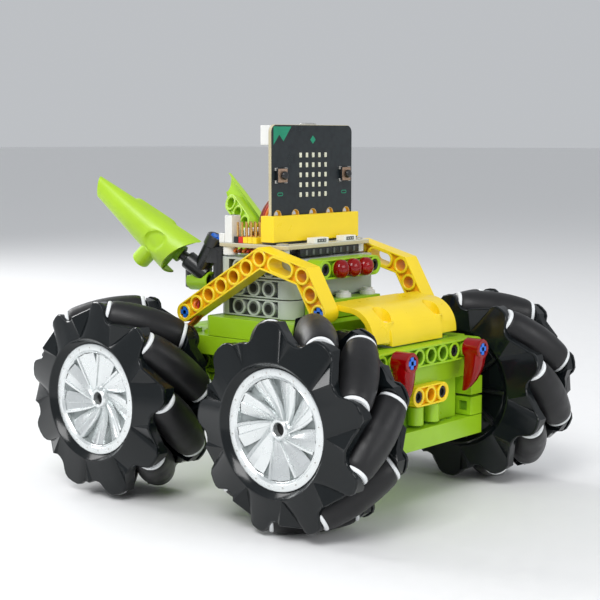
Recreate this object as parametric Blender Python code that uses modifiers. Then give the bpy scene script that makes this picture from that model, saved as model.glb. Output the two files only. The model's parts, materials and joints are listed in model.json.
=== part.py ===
"""Mecanum wheel robot: four mecanum wheels under a body of studless building-block beams.

A controller board stands in an expansion board on top, two wing panels point up and back.
Frame: origin on the ground in the middle of the four wheels, +X right, -Y forward, +Z up.
Blender units are metres. M is the pitch of the building-block holes, on whose grid the body lies.
"""

import math

import bmesh
import bpy
from mathutils import Matrix, Vector

MM = 0.001
M = 8 * MM
GAP = 0.3 * MM
HOLE_R = 2.4 * MM
HOLE_SIDES = 10

# Wheels: nine barrel rollers at 45 degrees, which together roll on one cylinder.
WHEEL_R = 40 * MM
WHEEL_X = 59 * MM
WHEEL_Y = 6 * M
WHEEL_Z = WHEEL_R
ROLLERS = 9
ROLLER_MID_R = 7.8 * MM
ROLLER_AXIS_R = WHEEL_R - ROLLER_MID_R
ROLLER_HALF = 16 * MM
ROLLER_SIDES = 12
ROLLER_BANDS = 4
FRONT_PHASE = math.radians(21.4)
REAR_PHASE = math.radians(34.6)
HUB_HALF = 16 * MM
HUB_TIP_R = 38 * MM
DRUM_R = 22.6 * MM
COLLAR_R = 26.8 * MM
COLLAR_LONG = 5 * MM
FACE_STEP = 0.2 * MM
RIM_R, RIM_HIGH = 25.4 * MM, 2 * MM
WELL_R, WELL_DEEP = 22.6 * MM, 0.4 * MM
LUG_CLEARANCE = 0.7 * MM
LUG_LOW, LUG_HIGH = 17 * MM, 36 * MM
LUG_WIDE = 17.5 * MM
LUG_TIP = 7.2 * MM

# Body, in grid steps: half widths, front and rear faces, and levels.
BODY_X = 4.5
NOSE_Y = -8
TAIL_Y = 7
DECK_LOW, DECK_HIGH = 7, 8
BLOCK_HIGH = 9
STACK_X, STACK_FRONT, STACK_REAR = 3.5, -2, 3
STACK_HIGH = 12
BEAM_X = 4.5
HOOD_X = 27.7 * MM

# Side arms, in the YZ plane: rear pin, two bends, front pin.
ARM_LOW_X, ARM_HIGH_X = 28 * MM, 36 * MM
ARM_REAR = (35.3 * MM, 72.5 * MM)
ARM_TOP = (-6.1 * MM, 96.9 * MM)
ARM_KNEE = (-28.0 * MM, 91.2 * MM)
ARM_FRONT = (-36.1 * MM, 77.4 * MM)

# Boards: the expansion board lies flat, the controller board stands in its edge connector.
BOARD_X = 27.6 * MM
BOARD_FRONT, BOARD_REAR = -13 * MM, 24 * MM
BOARD_LOW, BOARD_HIGH = 99.9 * MM, 101.5 * MM
SOCKET_X = 27.7 * MM
SOCKET_FRONT, SOCKET_REAR, SOCKET_HIGH = -6.4 * MM, 0.4 * MM, 113 * MM
CARD_X = 25.8 * MM
CARD_FRONT, CARD_REAR = -3.9 * MM, -2.3 * MM
CARD_LOW, CARD_HIGH = 107 * MM, 149.2 * MM
BUTTON_X, BUTTON_Z = 20.4 * MM, 129 * MM

# Wings: lower and upper corners of the base and the tip on the right-hand side.
WING_BASE_LOW = Vector((24, 54, 87)) * MM
WING_BASE_HIGH = Vector((24, 37.5, 100.5)) * MM
WING_TIP_LOW = Vector((40.5, 81.5, 118.8)) * MM
WING_TIP_HIGH = Vector((40.5, 80, 127.6)) * MM

LIME = ("lime_plastic", (0.26, 0.58, 0.012), 0.35, 0.0)
YELLOW = ("yellow_plastic", (0.89, 0.72, 0.02), 0.35, 0.0)
GREY = ("grey_plastic", (0.42, 0.45, 0.42), 0.4, 0.0)
BLACK = ("black_plastic", (0.008, 0.009, 0.01), 0.35, 0.0)
RUBBER = ("roller_rubber", (0.012, 0.012, 0.013), 0.7, 0.0)
RED = ("red_lens", (0.36, 0.0, 0.003), 0.1, 0.0)
BOARD = ("circuit_board", (0.55, 0.55, 0.48), 0.4, 0.0)
CARD = ("controller_black", (0.006, 0.008, 0.01), 0.35, 0.0)
WIRE = ("orange_wire", (0.75, 0.16, 0.02), 0.45, 0.0)

collection = None


def clear_scene():
    for obj in list(bpy.data.objects):
        bpy.data.objects.remove(obj, do_unlink=True)
    made = bpy.data.collections.new("mecanum_wheel_robot")
    bpy.context.scene.collection.children.link(made)
    return made


def material(spec):
    name, color, roughness, metallic = spec
    found = bpy.data.materials.get(name)
    if found:
        return found
    found = bpy.data.materials.new(name)
    found.use_nodes = True
    shader = found.node_tree.nodes["Principled BSDF"]
    shader.inputs["Base Color"].default_value = (*color, 1.0)
    shader.inputs["Roughness"].default_value = roughness
    shader.inputs["Metallic"].default_value = metallic
    return found


def add(name, data, finish=None):
    """A new object in the collection, with its material and smooth round faces."""
    obj = bpy.data.objects.new(name, data)
    collection.objects.link(obj)
    if finish:
        data.materials.clear()
        data.materials.append(material(finish))
        data.shade_smooth()
        data.set_sharp_from_angle(angle=math.radians(35))
    return obj


def baked(obj):
    """The object as a mesh with its modifiers applied and its shape in world coordinates."""
    bpy.context.view_layer.update()
    graph = bpy.context.evaluated_depsgraph_get()
    mesh = bpy.data.meshes.new_from_object(obj.evaluated_get(graph))
    mesh.transform(obj.matrix_world)
    bpy.data.objects.remove(obj, do_unlink=True)
    work = bmesh.new()
    work.from_mesh(mesh)
    bmesh.ops.remove_doubles(work, verts=work.verts, dist=0.001 * MM)
    bmesh.ops.recalc_face_normals(work, faces=work.faces)
    work.to_mesh(mesh)
    work.free()
    return mesh


def box(low, high):
    work = bmesh.new()
    bmesh.ops.create_cube(work, size=1)
    for vert in work.verts:
        vert.co = [b if c > 0 else a for a, b, c in zip(low, high, vert.co)]
    mesh = bpy.data.meshes.new("box")
    work.to_mesh(mesh)
    work.free()
    return add("box", mesh)


def grid_box(low, high):
    """A box with its corners given in grid steps."""
    return box([c * M for c in low], [c * M for c in high])


def rod(start, end, radius, sides=HOLE_SIDES):
    """A round bar from start to end."""
    start, end = Vector(start), Vector(end)
    along = end - start
    turn = along.to_track_quat("Z", "Y").to_matrix().to_4x4()
    place = Matrix.Translation((start + end) / 2) @ turn
    work = bmesh.new()
    bmesh.ops.create_cone(
        work,
        cap_ends=True,
        segments=sides,
        radius1=radius,
        radius2=radius,
        depth=along.length,
        matrix=place,
    )
    mesh = bpy.data.meshes.new("rod")
    work.to_mesh(mesh)
    work.free()
    return add("rod", mesh)


def combine(target, others, operation="UNION"):
    """Applies a Boolean with each of the others to the target, and removes the others."""
    for other in others:
        step = target.modifiers.new(operation, "BOOLEAN")
        step.operation = operation
        step.solver = "EXACT"
        step.object = other
        mesh = baked_copy(target)
        target.modifiers.remove(step)
        target.data = mesh
        bpy.data.objects.remove(other, do_unlink=True)
    return target


def baked_copy(obj):
    bpy.context.view_layer.update()
    graph = bpy.context.evaluated_depsgraph_get()
    return bpy.data.meshes.new_from_object(obj.evaluated_get(graph))


def finished(name, obj, finish):
    """Names a shape as a sub-part and gives it its material."""
    mesh = baked(obj)
    mesh.name = name
    return add(name, mesh, finish)


def circle(x, y, radius, sides=HOLE_SIDES):
    turns = [2 * math.pi * (i + 0.5) / sides for i in range(sides)]
    return [(x + radius * math.cos(a), y + radius * math.sin(a)) for a in turns]


def arc(x, y, radius, start, stop, steps):
    turns = [math.radians(start + (stop - start) * i / steps) for i in range(steps + 1)]
    return [(x + radius * math.cos(a), y + radius * math.sin(a)) for a in turns]


def rounded_rectangle(x0, x1, y0, y1, radius, steps=3):
    return (
        arc(x1 - radius, y0 + radius, radius, -90, 0, steps)
        + arc(x1 - radius, y1 - radius, radius, 0, 90, steps)
        + arc(x0 + radius, y1 - radius, radius, 90, 180, steps)
        + arc(x0 + radius, y0 + radius, radius, 180, 270, steps)
    )


def plate(loops, normal, low, high):
    """A flat shape cut from a plate: the first loop is its outline and the others are holes.

    The loops hold (y, z) for normal X, (x, z) for normal Y and (x, y) for normal Z.
    """
    curve = bpy.data.curves.new("plate", "CURVE")
    curve.dimensions = "2D"
    curve.fill_mode = "BOTH"
    curve.extrude = (high - low) / 2
    for loop in loops:
        spline = curve.splines.new("POLY")
        spline.points.add(len(loop) - 1)
        for point, (x, y) in zip(spline.points, loop):
            point.co = (x, y, 0, 1)
        spline.use_cyclic_u = True
    obj = add("plate", curve)
    middle = (low + high) / 2
    if normal == "X":
        turn = Matrix(((0, 0, 1, middle), (1, 0, 0, 0), (0, 1, 0, 0), (0, 0, 0, 1)))
    elif normal == "Y":
        turn = Matrix(((1, 0, 0, 0), (0, 0, -1, middle), (0, 1, 0, 0), (0, 0, 0, 1)))
    else:
        turn = Matrix.Translation((0, 0, middle))
    obj.matrix_world = turn
    return add("plate", baked(obj))


def strip(points, half_width, steps=5):
    """The outline of a beam along a bent line, with round ends and mitred bends."""
    points = [Vector(p) for p in points]
    headings = [(b - a).normalized() for a, b in zip(points, points[1:])]
    left = []
    right = []
    for before, after, point in zip(headings, headings[1:], points[1:-1]):
        across = Vector((-(before + after).y, (before + after).x)).normalized()
        reach = half_width / across.dot(Vector((-before.y, before.x)))
        left.append(tuple(point + across * reach))
        right.append(tuple(point - across * reach))
    first = math.degrees(math.atan2(headings[0].y, headings[0].x))
    last = math.degrees(math.atan2(headings[-1].y, headings[-1].x))
    start_arc = arc(*points[0], half_width, first + 90, first + 270, steps)
    end_arc = arc(*points[-1], half_width, last - 90, last + 90, steps)
    return start_arc + right + end_arc + left[::-1]


# Wheels


def wheel_frames(side, front):
    """The wheel's centre, each roller's outward direction, and the way the rollers slant."""
    centre = Vector((side * WHEEL_X, -WHEEL_Y if front else WHEEL_Y, WHEEL_Z))
    phase = FRONT_PHASE if front else REAR_PHASE
    slant = -1 if front else 1
    frames = []
    for i in range(ROLLERS):
        angle = phase + 2 * math.pi * i / ROLLERS
        out = Vector((0, math.cos(angle), math.sin(angle)))
        around = Vector((0, -math.sin(angle), math.cos(angle)))
        axis = (Vector((-side, 0, 0)) + slant * around).normalized()
        frames.append((out, around, axis))
    return centre, frames


def roller_radius(station):
    """The barrel's radius at a distance from its middle, so that it touches the wheel's cylinder."""
    return WHEEL_R - math.hypot(ROLLER_AXIS_R, station / math.sqrt(2))


def roller_mesh():
    """The profile of one roller from top to bottom, turned by a Screw modifier on each roller."""
    stations = [ROLLER_HALF * (1 - 2 * i / ROLLER_BANDS) for i in range(ROLLER_BANDS + 1)]
    points = [(0, 0, ROLLER_HALF)]
    points += [(roller_radius(s), 0, s) for s in stations]
    points += [(0, 0, -ROLLER_HALF)]
    mesh = bpy.data.meshes.new("roller")
    mesh.from_pydata(points, [(i, i + 1) for i in range(len(points) - 1)], [])
    mesh.materials.append(material(RUBBER))
    return mesh


def add_roller(name, mesh, centre, out, axis):
    obj = add(name, mesh)
    turned = obj.modifiers.new("turned", "SCREW")
    turned.steps = ROLLER_SIDES
    turned.render_steps = ROLLER_SIDES
    turned.use_merge_vertices = True
    turned.merge_threshold = 0.01 * MM
    turned.use_smooth_shade = True
    turn = Matrix((out, axis.cross(out), axis)).transposed().to_4x4()
    obj.matrix_world = Matrix.Translation(centre + out * ROLLER_AXIS_R) @ turn
    return obj


def lug(side, slant, out, around, end):
    """The block that holds one end of a roller's axle: end is 1 at the outer face, -1 inside."""
    stop = (ROLLER_HALF + LUG_CLEARANCE) * math.sqrt(2)
    face = HUB_HALF
    corners = [
        (face, stop - face),
        (face, stop - face + LUG_WIDE),
        (LUG_TIP, stop - LUG_TIP),
    ]
    work = bmesh.new()
    rings = []
    for height in (LUG_LOW, LUG_HIGH):
        ring = []
        for across, along in corners:
            place = Vector((side * end * across, 0, 0)) + out * height
            place += around * along * slant * end * (-1)
            ring.append(work.verts.new(place))
        rings.append(ring)
    for ring in rings:
        work.faces.new(ring)
    for i in range(3):
        j = (i + 1) % 3
        work.faces.new((rings[0][i], rings[0][j], rings[1][j], rings[1][i]))
    bmesh.ops.recalc_face_normals(work, faces=work.faces)
    mesh = bpy.data.meshes.new("lug")
    work.to_mesh(mesh)
    work.free()
    return add("lug", mesh)


def add_hub(name, side, front):
    """One body: a drum, a collar at each face, eighteen trimmed lugs, and a rim round the cap's well."""
    centre, frames = wheel_frames(side, front)
    slant = -1 if front else 1
    star = None
    for out, around, _ in frames:
        for end in (1, -1):
            made = lug(side, slant, out, around, end)
            star = combine(star, [made]) if star else made
    face = HUB_HALF
    combine(star, [rod((-face - MM, 0, 0), (face + MM, 0, 0), HUB_TIP_R, 36)], "INTERSECT")
    step = face - FACE_STEP
    drum = rod((-step, 0, 0), (step, 0, 0), DRUM_R, 18)
    for low, high in ((-step, -step + COLLAR_LONG), (step - COLLAR_LONG, step)):
        combine(drum, [rod((low, 0, 0), (high, 0, 0), COLLAR_R, 18)])
    rim_face = side * (face + RIM_HIGH)
    combine(drum, [rod((side * (face - MM), 0, 0), (rim_face, 0, 0), RIM_R, 32)])
    combine(star, [drum])
    well = rod((side * (face - WELL_DEEP), 0, 0), (rim_face + side * MM, 0, 0), WELL_R, 32)
    combine(star, [well], "DIFFERENCE")
    star.matrix_world = Matrix.Translation(centre)
    return finished(name, star, BLACK)


def add_wheels():
    mesh = roller_mesh()
    for place, side, front in (("fl", -1, 1), ("fr", 1, 1), ("rl", -1, 0), ("rr", 1, 0)):
        add_hub(f"wheel_hub_{place}", side, front)
        centre, frames = wheel_frames(side, front)
        for number, (out, _, axis) in enumerate(frames, 1):
            add_roller(f"roller_{place}_{number}", mesh, centre, out, axis)


# Body


def add_chassis():
    """Deck, spine and floor of lime beams, with the space for the motors front and rear."""
    deck = grid_box((-BODY_X, -6.9, DECK_LOW), (BODY_X, TAIL_Y, DECK_HIGH))
    half = BODY_X * M
    block = plate(
        [rounded_rectangle(-half, half, -4 * M, 3 * M, 4 * MM)], "Z", DECK_HIGH * M - MM, BLOCK_HIGH * M
    )
    spine = grid_box((-3.5, -4.3, 3.9), (3.5, 4.3, 7.1))
    floor = grid_box((-3.5, -6.4, 3), (3.5, 6.4, 4))
    return finished("chassis_frame", combine(deck, [block, spine, floor]), LIME)


def add_front_beam():
    half = BEAM_X * M
    z = (DECK_LOW + 0.5) * M
    holes = [circle(i * M, z, HOLE_R) for i in range(-4, 5)]
    outline = strip([(-half + M / 2, z), (half - M / 2, z)], M / 2)
    beam = plate([outline, *holes], "Y", NOSE_Y * M, -7 * M)
    return finished("front_beam", beam, LIME)


def add_bumper():
    """The lower nose: a plate along the bottom, a recessed wall, and a block on each side."""
    plate_low = grid_box((-BODY_X, NOSE_Y, 3), (BODY_X, -6.5, 4))
    wall = grid_box((-3.4, -7, 3.9), (3.4, -6.5, 6.9))
    shelf = grid_box((-BODY_X, -7.5, 6), (BODY_X, -6.6, 6.9))
    slit = GAP / M
    blocks = []
    for low in (-BODY_X, 3.25):
        for level in (4, 5):
            blocks.append(grid_box((low, NOSE_Y, level), (low + 1.25, -6.9, level + 1 - slit)))
    joined = combine(plate_low, [wall, shelf, *blocks])
    return finished("front_bumper", joined, LIME)


def add_claw(name, side):
    """A round boss on a pin and a tooth that tapers down from it and leans towards the middle."""
    x, z = side * 3 * M, 60.5 * MM
    front, back = -72 * MM, NOSE_Y * M - GAP
    boss = rod((x, back, z), (x, front, z), 4 * MM, 16)
    work = bmesh.new()
    levels = ((z, 0.98, 0), (z - 8 * MM, 0.72, 0.9), (43.5 * MM, 0.1, 2.6))
    rings = []
    for level, size, lean in levels:
        half = 3.9 * MM * size
        deep = (back - front) * size
        corners = ((-half, 0), (half, 0), (half * 0.6, -deep), (-half * 0.6, -deep))
        middle = x - side * lean * MM
        rings.append([work.verts.new((middle + dx, back + dy, level)) for dx, dy in corners])
    for ring in (rings[0], rings[-1]):
        work.faces.new(ring)
    for above, below in zip(rings, rings[1:]):
        for i in range(4):
            j = (i + 1) % 4
            work.faces.new((above[i], above[j], below[j], below[i]))
    bmesh.ops.recalc_face_normals(work, faces=work.faces)
    mesh = bpy.data.meshes.new("tooth")
    work.to_mesh(mesh)
    work.free()
    return finished(name, combine(boss, [add("tooth", mesh)]), RED)


def add_hood():
    """A curved panel: its section in the YZ plane, swept across the nose."""
    top = [(-35.5 * MM, 80.6 * MM), (-44 * MM, 79.6 * MM)]
    nose = arc(-44 * MM, 66.3 * MM, 13.3 * MM, 90, 180, 6)
    inner = arc(-44 * MM, 66.3 * MM, 10.9 * MM, 180, 90, 5)
    outline = top + nose[1:] + inner + [(-35.5 * MM, 78.2 * MM)]
    panel = plate([outline], "X", -HOOD_X, HOOD_X)
    return finished("hood_panel", panel, YELLOW)


def add_side_arm(name, side):
    """A double-bent beam: six holes, a slot in the middle leg, and two holes in the front leg."""
    points = [Vector(p) for p in (ARM_REAR, ARM_TOP, ARM_KNEE, ARM_FRONT)]
    rise = (points[1] - points[0]).normalized()
    fall = (points[2] - points[1]).normalized()
    drop = (points[3] - points[2]).normalized()
    centres = [points[1] - rise * M * i for i in range(6)] + [points[0]]
    centres += [points[2], points[2] + drop * M, points[3]]
    holes = [circle(*centre, HOLE_R, 8) for centre in centres]
    slot = strip([points[1] + fall * M, points[2] - fall * M], HOLE_R, 3)
    outline = strip(points, M / 2)
    low, high = sorted((side * ARM_LOW_X, side * ARM_HIGH_X))
    return finished(name, plate([outline, *holes, slot], "X", low, high), YELLOW)


def add_frame_stack():
    """Three rectangular frames stacked: an open window inside and three holes a side a level."""
    half = STACK_X * M
    outline = rounded_rectangle(-half, half, STACK_FRONT * M, STACK_REAR * M, 6 * MM)
    window = rounded_rectangle(-2.5 * M, 2.5 * M, -M, 2 * M, MM, 1)
    stack = plate([outline, window], "Z", BLOCK_HIGH * M + GAP, STACK_HIGH * M)
    bars = []
    for row in (-0.5, 0.5, 1.5):
        for level in (9.5, 10.5, 11.5):
            bars.append(rod((-4 * M, row * M, level * M), (4 * M, row * M, level * M), HOLE_R, 8))
    return finished("frame_stack", combine(stack, bars, "DIFFERENCE"), GREY)


def add_light_beam():
    z = 11.5 * M
    outline = strip([(-2 * M, z), (2 * M, z)], M / 2)
    holes = [circle(i * M, z, HOLE_R) for i in range(-2, 3)]
    beam = plate([outline, *holes], "Y", -3 * M, STACK_FRONT * M - GAP)
    return finished("light_beam", beam, LIME)


def add_expansion_board():
    """The flat board on four pillars, with its edge connector and sockets soldered on."""
    outline = rounded_rectangle(-BOARD_X, BOARD_X, BOARD_FRONT, BOARD_REAR, 2 * MM)
    board = plate([outline], "Z", BOARD_LOW, BOARD_HIGH)
    base = BOARD_HIGH - MM
    pillars = [
        rod((x, y, STACK_HIGH * M + GAP), (x, y, BOARD_LOW + MM), 3 * MM)
        for x in (-3 * M, 3 * M)
        for y in (-M, 2.5 * M)
    ]
    connector = box((-SOCKET_X, SOCKET_FRONT, base), (SOCKET_X, SOCKET_REAR, SOCKET_HIGH))
    slot = box(
        (-CARD_X - GAP, CARD_FRONT - GAP, CARD_LOW - GAP), (CARD_X + GAP, CARD_REAR + GAP, SOCKET_HIGH + MM)
    )
    combine(connector, [slot], "DIFFERENCE")
    headers = box((-27 * MM, 3 * MM, base), (-17 * MM, 15.6 * MM, 105 * MM))
    socket = box((-27 * MM, 16 * MM, base), (-21 * MM, 20.5 * MM, 113 * MM))
    plug = box((-17.3 * MM, 5.5 * MM, base), (-11 * MM, 14.5 * MM, 106 * MM))
    far_plug = box((9 * MM, 8 * MM, base), (17 * MM, 16 * MM, 106 * MM))
    board = combine(board, [*pillars, connector, headers, socket, plug, far_plug])
    return finished("expansion_board", board, BOARD)


def add_controller_board():
    """The upright card with its row of holes, sockets behind it and the bodies of two buttons."""
    outline = rounded_rectangle(-CARD_X, CARD_X, CARD_LOW, CARD_HIGH, 3 * MM)
    card = plate([outline], "Y", CARD_FRONT, CARD_REAR)
    back = CARD_REAR - 0.5 * MM
    usb = box((-3.8 * MM, back, 144.5 * MM), (3.8 * MM, back + 3 * MM, 150 * MM))
    battery = box((-24.5 * MM, back, 141 * MM), (-15 * MM, back + 6 * MM, 149 * MM))
    front = CARD_FRONT + 0.5 * MM
    bodies = [
        box((x - 3 * MM, front - 2.1 * MM, BUTTON_Z - 3 * MM), (x + 3 * MM, front, BUTTON_Z + 3 * MM))
        for x in (-BUTTON_X, BUTTON_X)
    ]
    combine(card, [usb, battery, *bodies])
    drills = [
        rod((i * 11 * MM, CARD_FRONT - MM, 112.4 * MM), (i * 11 * MM, CARD_REAR + MM, 112.4 * MM), 2 * MM)
        for i in range(-2, 3)
    ]
    return finished("controller_board", combine(card, drills, "DIFFERENCE"), CARD)


def add_button(name, side):
    """The plunger of a side button, which stands off its body by the way that it travels."""
    x = side * BUTTON_X
    front = CARD_FRONT - 1.6 * MM - 0.35 * MM
    plunger = rod((x, front, BUTTON_Z), (x, front - 1.3 * MM, BUTTON_Z), 1.7 * MM, 12)
    return finished(name, plunger, BLACK)


def wing_section(u, side, size):
    """Points round the wing at a share u of its length, bulging outwards, scaled about its middle."""
    low = WING_BASE_LOW.lerp(WING_TIP_LOW, u)
    high = WING_BASE_HIGH.lerp(WING_TIP_HIGH, u)
    along = (WING_TIP_LOW - WING_BASE_LOW).normalized()
    outward = along.cross(high - low).normalized()
    if outward.x < 0:
        outward = -outward
    middle = (low + high) / 2
    half = (high - low) / 2
    bulge = (8.5 - 6 * u) * MM
    back = (3.5 - 2.4 * u) * MM
    points = []
    for i in range(12):
        angle = 2 * math.pi * i / 12
        rise = math.sin(angle)
        reach = bulge if rise > 0 else back
        place = middle + size * (half * math.cos(angle) + outward * reach * rise)
        points.append(Vector((side * place.x, place.y, place.z)))
    return points


def wing_loft(side, stations, size):
    work = bmesh.new()
    rings = [[work.verts.new(p) for p in wing_section(u, side, size)] for u in stations]
    work.faces.new(rings[0])
    work.faces.new(rings[-1])
    for near, far in zip(rings, rings[1:]):
        for i in range(12):
            j = (i + 1) % 12
            work.faces.new((near[i], near[j], far[j], far[i]))
    bmesh.ops.recalc_face_normals(work, faces=work.faces)
    mesh = bpy.data.meshes.new("wing")
    work.to_mesh(mesh)
    work.free()
    return add("wing", mesh)


def add_wing(name, side):
    """A tapering panel, hollow at its base, where the bracket's axle goes in."""
    shell = wing_loft(side, (0, 0.35, 0.7, 1), 1.0)
    hollow = wing_loft(side, (-0.1, 0.2, 0.45), 0.78)
    return finished(name, combine(shell, [hollow], "DIFFERENCE"), LIME)


def wing_axis():
    """Middle of the right wing's base and the direction to the middle of its tip."""
    base = (WING_BASE_LOW + WING_BASE_HIGH) / 2
    tip = (WING_TIP_LOW + WING_TIP_HIGH) / 2
    return base, (tip - base).normalized()


def add_wing_bracket():
    """A crossbar behind the frames that carries a post, an angled connector and a tube each side."""
    joined = grid_box((-3.3, 3.05, 10), (3.3, 4, 11))
    base, along = wing_axis()
    for side in (-1, 1):
        flip = Vector((side, 1, 1))
        axle_end = (base + along * 6 * MM) * flip
        elbow = (base - along * 9 * MM) * flip
        head = Vector((side * 19, 31.5, 102)) * MM
        foot = Vector((side * 20, 29, 84)) * MM
        pieces = [
            rod(elbow, axle_end, 2.3 * MM, 8),
            rod(elbow + (head - elbow) * -0.12, head, 3.6 * MM),
            rod(foot, Vector((side * 20, 29, 98)) * MM, 3.4 * MM),
            rod((side * 23 * MM, 29 * MM, 84 * MM), (side * 23 * MM, 44 * MM, 84 * MM), 4 * MM),
        ]
        combine(joined, pieces)
    return finished("wing_bracket", joined, BLACK)


def add_motors(name, front):
    """Two geared motors back to back, each with a shaft stub towards its wheel."""
    sign = -1 if front else 1
    y = sign * WHEEL_Y
    low, high = 4 * M + GAP, 7 * M - GAP
    near, far = sorted((sign * 4.4 * M, sign * 6.45 * M))
    gearbox = box((-39 * MM, near, low), (39 * MM, far, high))
    shaft = rod((-41.5 * MM, y, WHEEL_Z), (41.5 * MM, y, WHEEL_Z), 3.4 * MM, 12)
    return finished(name, combine(gearbox, [shaft]), BLACK)


def add_signal_cable():
    """A short lead, clipped between two plugs of the expansion board, arching behind the card."""
    route = [
        Vector(p) * MM
        for p in ((-14, 11, 106.4), (-14, 10.6, 112), (-12, 8.5, 117.5), (-7, 6, 121.5), (0, 5.5, 123),
                  (7, 7, 121), (11.5, 10, 116), (13, 12, 111), (13, 12, 106.4))
    ]
    curve = bpy.data.curves.new("signal_cable", "CURVE")
    curve.dimensions = "3D"
    curve.bevel_depth = 1.9 * MM
    curve.bevel_resolution = 2
    curve.use_fill_caps = True
    points = smooth_route(route, 3)
    spline = curve.splines.new("POLY")
    spline.points.add(len(points) - 1)
    for point, place in zip(spline.points, points):
        point.co = (*place, 1)
    curve.materials.append(material(WIRE))
    obj = bpy.data.objects.new("signal_cable", curve)
    collection.objects.link(obj)
    return obj


def smooth_route(route, steps):
    """A Catmull-Rom curve through the route's points."""
    padded = [route[0] * 2 - route[1], *route, route[-1] * 2 - route[-2]]
    points = []
    for a, b, c, d in zip(padded, padded[1:], padded[2:], padded[3:]):
        slope = c - a
        bend = a * 2 - b * 5 + c * 4 - d
        twist = b * 3 - a - c * 3 + d
        for i in range(steps):
            t = i / steps
            points.append((b * 2 + slope * t + bend * t * t + twist * t**3) / 2)
    return points + [route[-1]]


def main():
    global collection
    collection = clear_scene()
    add_wheels()
    add_chassis()
    add_front_beam()
    add_bumper()
    add_claw("claw_left", -1)
    add_claw("claw_right", 1)
    add_hood()
    add_side_arm("side_arm_left", -1)
    add_side_arm("side_arm_right", 1)
    add_frame_stack()
    add_light_beam()
    add_expansion_board()
    add_controller_board()
    add_button("button_left", -1)
    add_button("button_right", 1)
    add_wing("wing_left", -1)
    add_wing("wing_right", 1)
    add_wing_bracket()
    add_motors("front_motors", True)
    add_motors("rear_motors", False)
    add_signal_cable()


main()
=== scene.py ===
"""Looks of the mecanum wheel robot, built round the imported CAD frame.

Shapes are drawn in millimetres in the frame's own axes (+X right, -Y forward, +Z up, origin on the
ground) and scaled to metres when a piece is put in place. GRID is the pitch of the block holes.
"""

import json
import math

import bmesh
import bpy
from mathutils import Matrix, Vector


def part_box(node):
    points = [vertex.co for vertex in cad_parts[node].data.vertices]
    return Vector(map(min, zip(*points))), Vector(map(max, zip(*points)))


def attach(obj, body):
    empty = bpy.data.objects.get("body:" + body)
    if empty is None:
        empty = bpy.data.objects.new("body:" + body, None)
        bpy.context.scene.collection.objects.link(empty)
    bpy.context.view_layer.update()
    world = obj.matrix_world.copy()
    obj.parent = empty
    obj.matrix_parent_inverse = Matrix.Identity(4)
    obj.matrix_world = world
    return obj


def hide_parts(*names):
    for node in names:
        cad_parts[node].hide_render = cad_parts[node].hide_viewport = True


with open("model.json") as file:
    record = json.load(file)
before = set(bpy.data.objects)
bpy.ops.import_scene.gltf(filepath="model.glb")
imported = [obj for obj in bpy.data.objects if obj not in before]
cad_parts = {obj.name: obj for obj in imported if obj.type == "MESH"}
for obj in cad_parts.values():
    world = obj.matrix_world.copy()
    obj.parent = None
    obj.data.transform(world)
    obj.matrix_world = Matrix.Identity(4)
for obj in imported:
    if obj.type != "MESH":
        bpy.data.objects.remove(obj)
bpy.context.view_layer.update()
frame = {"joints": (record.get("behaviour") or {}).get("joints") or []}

METRE = 1000.0

# Blocks: hole pitch, hole and ring radii, wall, rounding and the depth of the web between the holes
GRID = 8.0
HALF = GRID / 2
HOLE_R = 2.45
RING_R = 3.5
WALL = 0.75
WEB_SHARE = 0.62
EDGE = 0.22
ROUND_SIDES = 32
SHARP_ANGLE = math.radians(38)
SIDES = (-1, 1)

JOINTS = {joint["name"]: joint for joint in frame["joints"]}


def mm(node):
    """A CAD node's lowest and highest corners, in millimetres."""
    low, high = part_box(node)
    return low * METRE, high * METRE


def pivot(joint):
    """A joint's point, in millimetres."""
    return Vector(JOINTS[joint]["pos_m"]) * METRE


# Materials. Scales are in cycles per metre and depths in metres.

CLOUD_SCALE, SMEAR_SCALE, GRAIN_SCALE, TRACK_SCALE = 55, 190, 2600, 420
GRAIN_DEEP, TRACK_DEEP = 0.0004, 0.0001


def principled(name):
    """A new node material, with its tree and its shader node."""
    made = bpy.data.materials.new(name)
    made.use_nodes = True
    tree = made.node_tree
    return made, tree, tree.nodes["Principled BSDF"]


def noise(tree, scale, detail, source):
    """The value of a noise texture over the coordinates of a source."""
    node = tree.nodes.new("ShaderNodeTexNoise")
    node.inputs["Scale"].default_value = scale
    node.inputs["Detail"].default_value = detail
    tree.links.new(source, node.inputs["Vector"])
    return node.outputs["Fac"]


def roughen(tree, shader, height, strength, distance):
    """Bumps the surface by a height value."""
    bump = tree.nodes.new("ShaderNodeBump")
    bump.inputs["Strength"].default_value = strength
    bump.inputs["Distance"].default_value = distance
    tree.links.new(height, bump.inputs["Height"])
    tree.links.new(bump.outputs["Normal"], shader.inputs["Normal"])


def ramp(tree, value, low, high):
    """Maps a 0 to 1 value between two numbers or two colours."""
    node = tree.nodes.new("ShaderNodeValToRGB")
    node.color_ramp.elements[0].position = 0.3
    node.color_ramp.elements[1].position = 0.7
    low, high = ((c, c, c) if isinstance(c, float) else c for c in (low, high))
    node.color_ramp.elements[0].color = (*low, 1)
    node.color_ramp.elements[1].color = (*high, 1)
    tree.links.new(value, node.inputs["Fac"])
    return node.outputs["Color"]


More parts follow.
